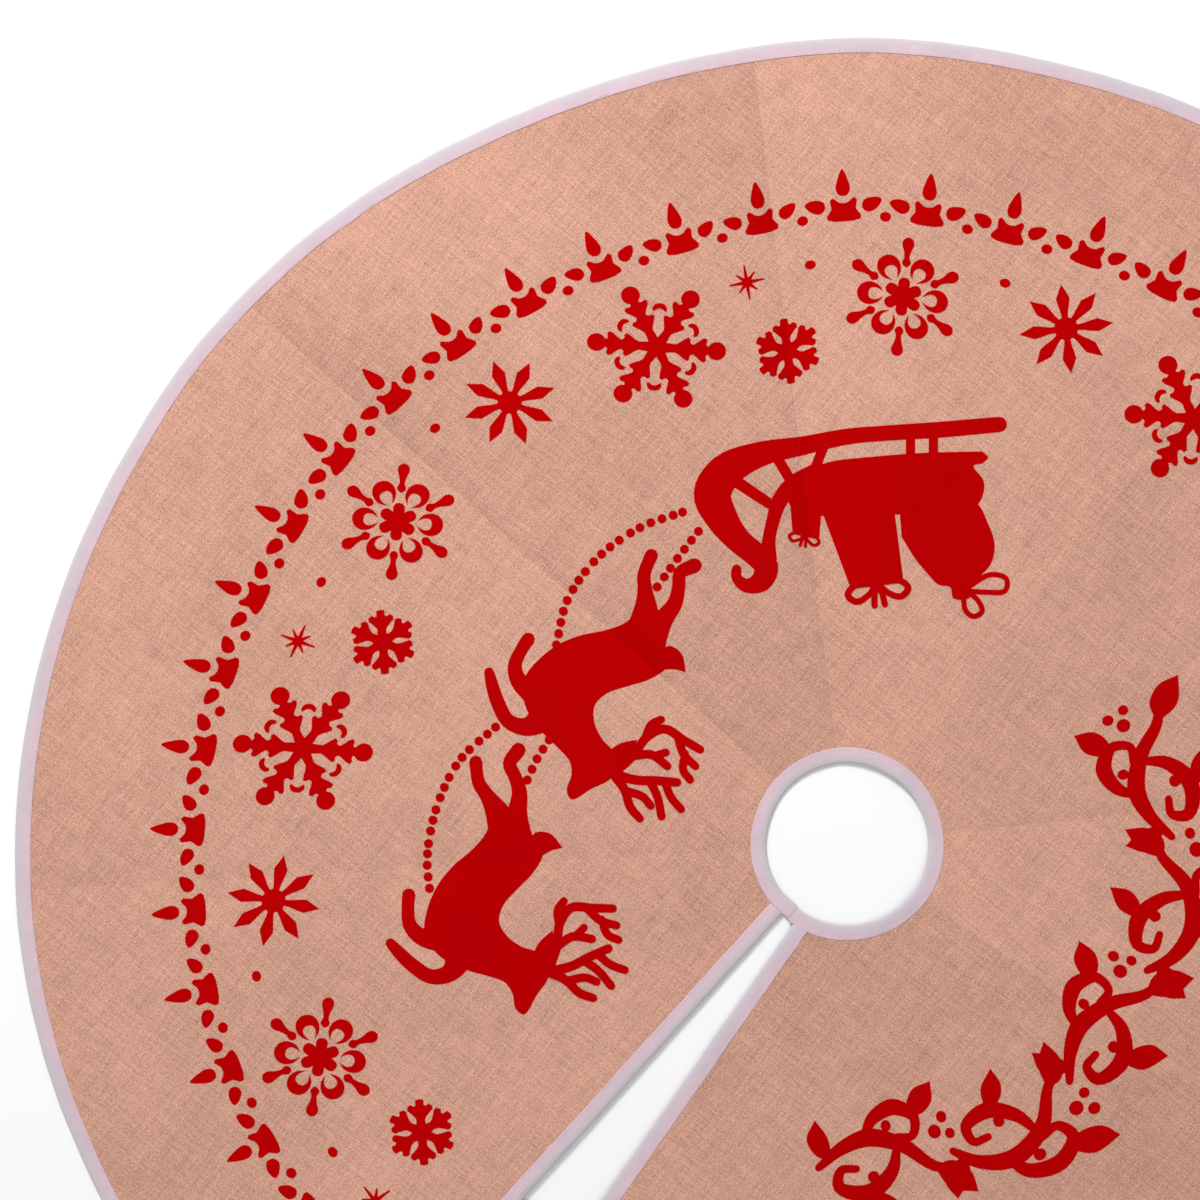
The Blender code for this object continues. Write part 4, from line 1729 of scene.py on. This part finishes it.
@dataclass
class LeafVine:
    """A flowing vine of swashes, leaves and berries round the right of the hole."""

    printer: Printer
    radius: float = 241.0
    first: float = 303.5
    last: float = 424.0
    waves: int = 5

    def curl(self) -> Motif:
        """Return one wave of the vine, rooted at the origin and growing along +X."""
        shapes = [
            stroke((0, 0, 4), (14, 13, 8), (34, 20, 11), (58, 12, 9), (76, -6, 6), (90, -12, 4.5)),
            stroke((30, 18, 4), (38, 32, 8), (56, 38, 10), (70, 29, 7), (66, 17, 5), (55, 18, 4)),
            stroke((54, 12, 4), (48, -4, 8), (32, -16, 10), (14, -12, 7), (15, -1, 5), (25, 0, 4)),
            loop((64, 34, 1), (74, 46), (90, 48, 1), (86, 36), (74, 30)),
            loop((76, -6, 1), (82, -22), (96, -30, 1), (96, -16), (88, -6)),
            loop((8, 6, 1), (4, 20), (-6, 30, 1), (-10, 18), (-2, 8)),
            loop((32, -18, 1), (36, -30), (50, -38, 1), (50, -26), (42, -18)),
        ]
        berries = ((48, 26.5, 3.4), (36, -6, 3.4), (82, 16, 4.2), (90, 24, 3.4), (92, 12, 3.0))
        return Motif([*shapes, *[dot(*berry) for berry in berries]])

    def make(self) -> None:
        """Print the vine, bent along its circle."""
        curl = self.curl()
        span = radians(self.last - self.first) * self.radius / self.waves
        scale = span / 90.0
        motifs = []
        for k in range(self.waves):
            flip = 1.0 if k % 2 == 0 else -1.0

            def bent(x: float, y: float) -> Point:
                """Return a point of the wave, wrapped round the circle."""
                angle = radians(self.first) + (k * span + x * scale) / self.radius
                out = self.radius - flip * y * scale
                return out * cos(angle), out * sin(angle)

            motifs.append(Motif([[[bent(*p) for p in ring] for ring in shape] for shape in curl.shapes]))
        self.printer.press("leaf_vine", motifs, Side.RIGHT, False)


# ------------------------------------------------------------------- the studio


@dataclass
class Studio:
    """A pale floor, one broad soft light and a camera straight above."""

    eye: tuple[float, float, float] = (-0.2566, 0.0271, 1.2407)
    lens: float = 50.0
    far: float = 3.2
    daylight: float = 0.52

    def floor(self) -> None:
        """Lay the floor."""
        bm = bmesh.new()
        bmesh.ops.create_grid(bm, x_segments=1, y_segments=1, size=6.0)
        mesh = bpy.data.meshes.new("studio_floor")
        bm.to_mesh(mesh)
        bm.free()
        mesh.transform(Matrix.Translation((0.0, 0.0, -0.1 * MM)))
        mesh.materials.append(FloorFinish().make())
        made = bpy.data.objects.new("studio_floor", mesh)
        bpy.context.scene.collection.objects.link(made)

    def light(self, name: str, angle: float, rise: float, size: float, power: float) -> None:
        """Hang one soft light.

        Args:
            name: The light's name.
            angle: Its direction from the middle, in degrees.
            rise: Its height above the horizon, in degrees.
            size: Its width in metres.
            power: Its power in watts.
        """
        data = bpy.data.lights.new(name, "AREA")
        data.shape, data.size, data.energy = "DISK", size, power
        lamp = bpy.data.objects.new(name, data)
        flat, up = radians(angle), radians(rise)
        way = Vector((cos(flat) * cos(up), sin(flat) * cos(up), sin(up)))
        lamp.location = way * self.far
        lamp.rotation_euler = way.to_track_quat("Z", "Y").to_euler()
        bpy.context.scene.collection.objects.link(lamp)

    def camera(self) -> None:
        """Set the camera straight above, turned with the cloth."""
        data = bpy.data.cameras.new("camera")
        data.lens, data.sensor_width = self.lens, 36.0
        eye = bpy.data.objects.new("camera", data)
        eye.location = self.eye
        eye.rotation_euler = (0.0, 0.0, PRINT_TURN)
        bpy.context.scene.collection.objects.link(eye)
        bpy.context.scene.camera = eye

    def make(self) -> None:
        """Set up the whole studio."""
        scene = bpy.context.scene
        scene.view_settings.view_transform = "Standard"
        world = bpy.data.worlds.new("studio")
        world.use_nodes = True
        sky = world.node_tree.nodes["Background"].inputs
        sky[0].default_value, sky[1].default_value = (1.0, 1.0, 1.0, 1.0), self.daylight
        scene.world = world
        self.camera()
        self.floor()
        self.light("key", 153.0, 36.0, 1.0, 81.0)
        self.light("fill", 330.0, 62.0, 2.5, 10.0)


def declare_sheets(cloth: ClothDisc, binding: Binding, ties: RibbonTies, printer: Printer) -> None:
    """Work out, for each side, which pieces lie on its sheet of cloth and the area it was cut from; the
    results are not kept.
    """
    disc = pi * (RIM_RADIUS**2 - HOLE_RADIUS**2) / 2
    width = RIM_RADIUS - HOLE_RADIUS
    gap = (slit_half_gap(HOLE_RADIUS) + slit_half_gap(RIM_RADIUS)) / 2 * width
    for side, piece in cloth.pieces.items():
        pieces = [*binding.pieces[side], *printer.pieces[side]]
        if side is Side.CENTRE:
            continue
        lost = CENTRE_TO if side is Side.RIGHT else -CENTRE_FROM
        area = disc - gap - lost * width
        tie, tack = ties.pieces[side]


def main() -> None:
    """Build the skirt and its studio."""
    logging.basicConfig(level=logging.INFO, format="%(message)s")
    Studio().make()
    lay = Lay()
    tape = TapeFinish().make()
    thread = ThreadFinish().make()
    light, shade = (0.78, 0.62, 0.68, 1.0), (0.64, 0.50, 0.57, 1.0)
    ribbon = TapeFinish("tie_ribbon", light, shade, roughness=0.38, sheen=0.3).make()
    cloth = ClothDisc(lay, BurlapFinish().make())
    cloth.make()
    binding = Binding(lay, tape, thread)
    binding.make()
    ties = RibbonTies(lay, ribbon, thread)
    ties.make()
    printer = Printer(lay, InkFinish().make())
    CandleGarland(printer).make()
    FlakeBorder(printer).make()
    SleighTeam(printer).make()
    LeafVine(printer).make()
    declare_sheets(cloth, binding, ties, printer)


if __name__ == "__main__":
    main()
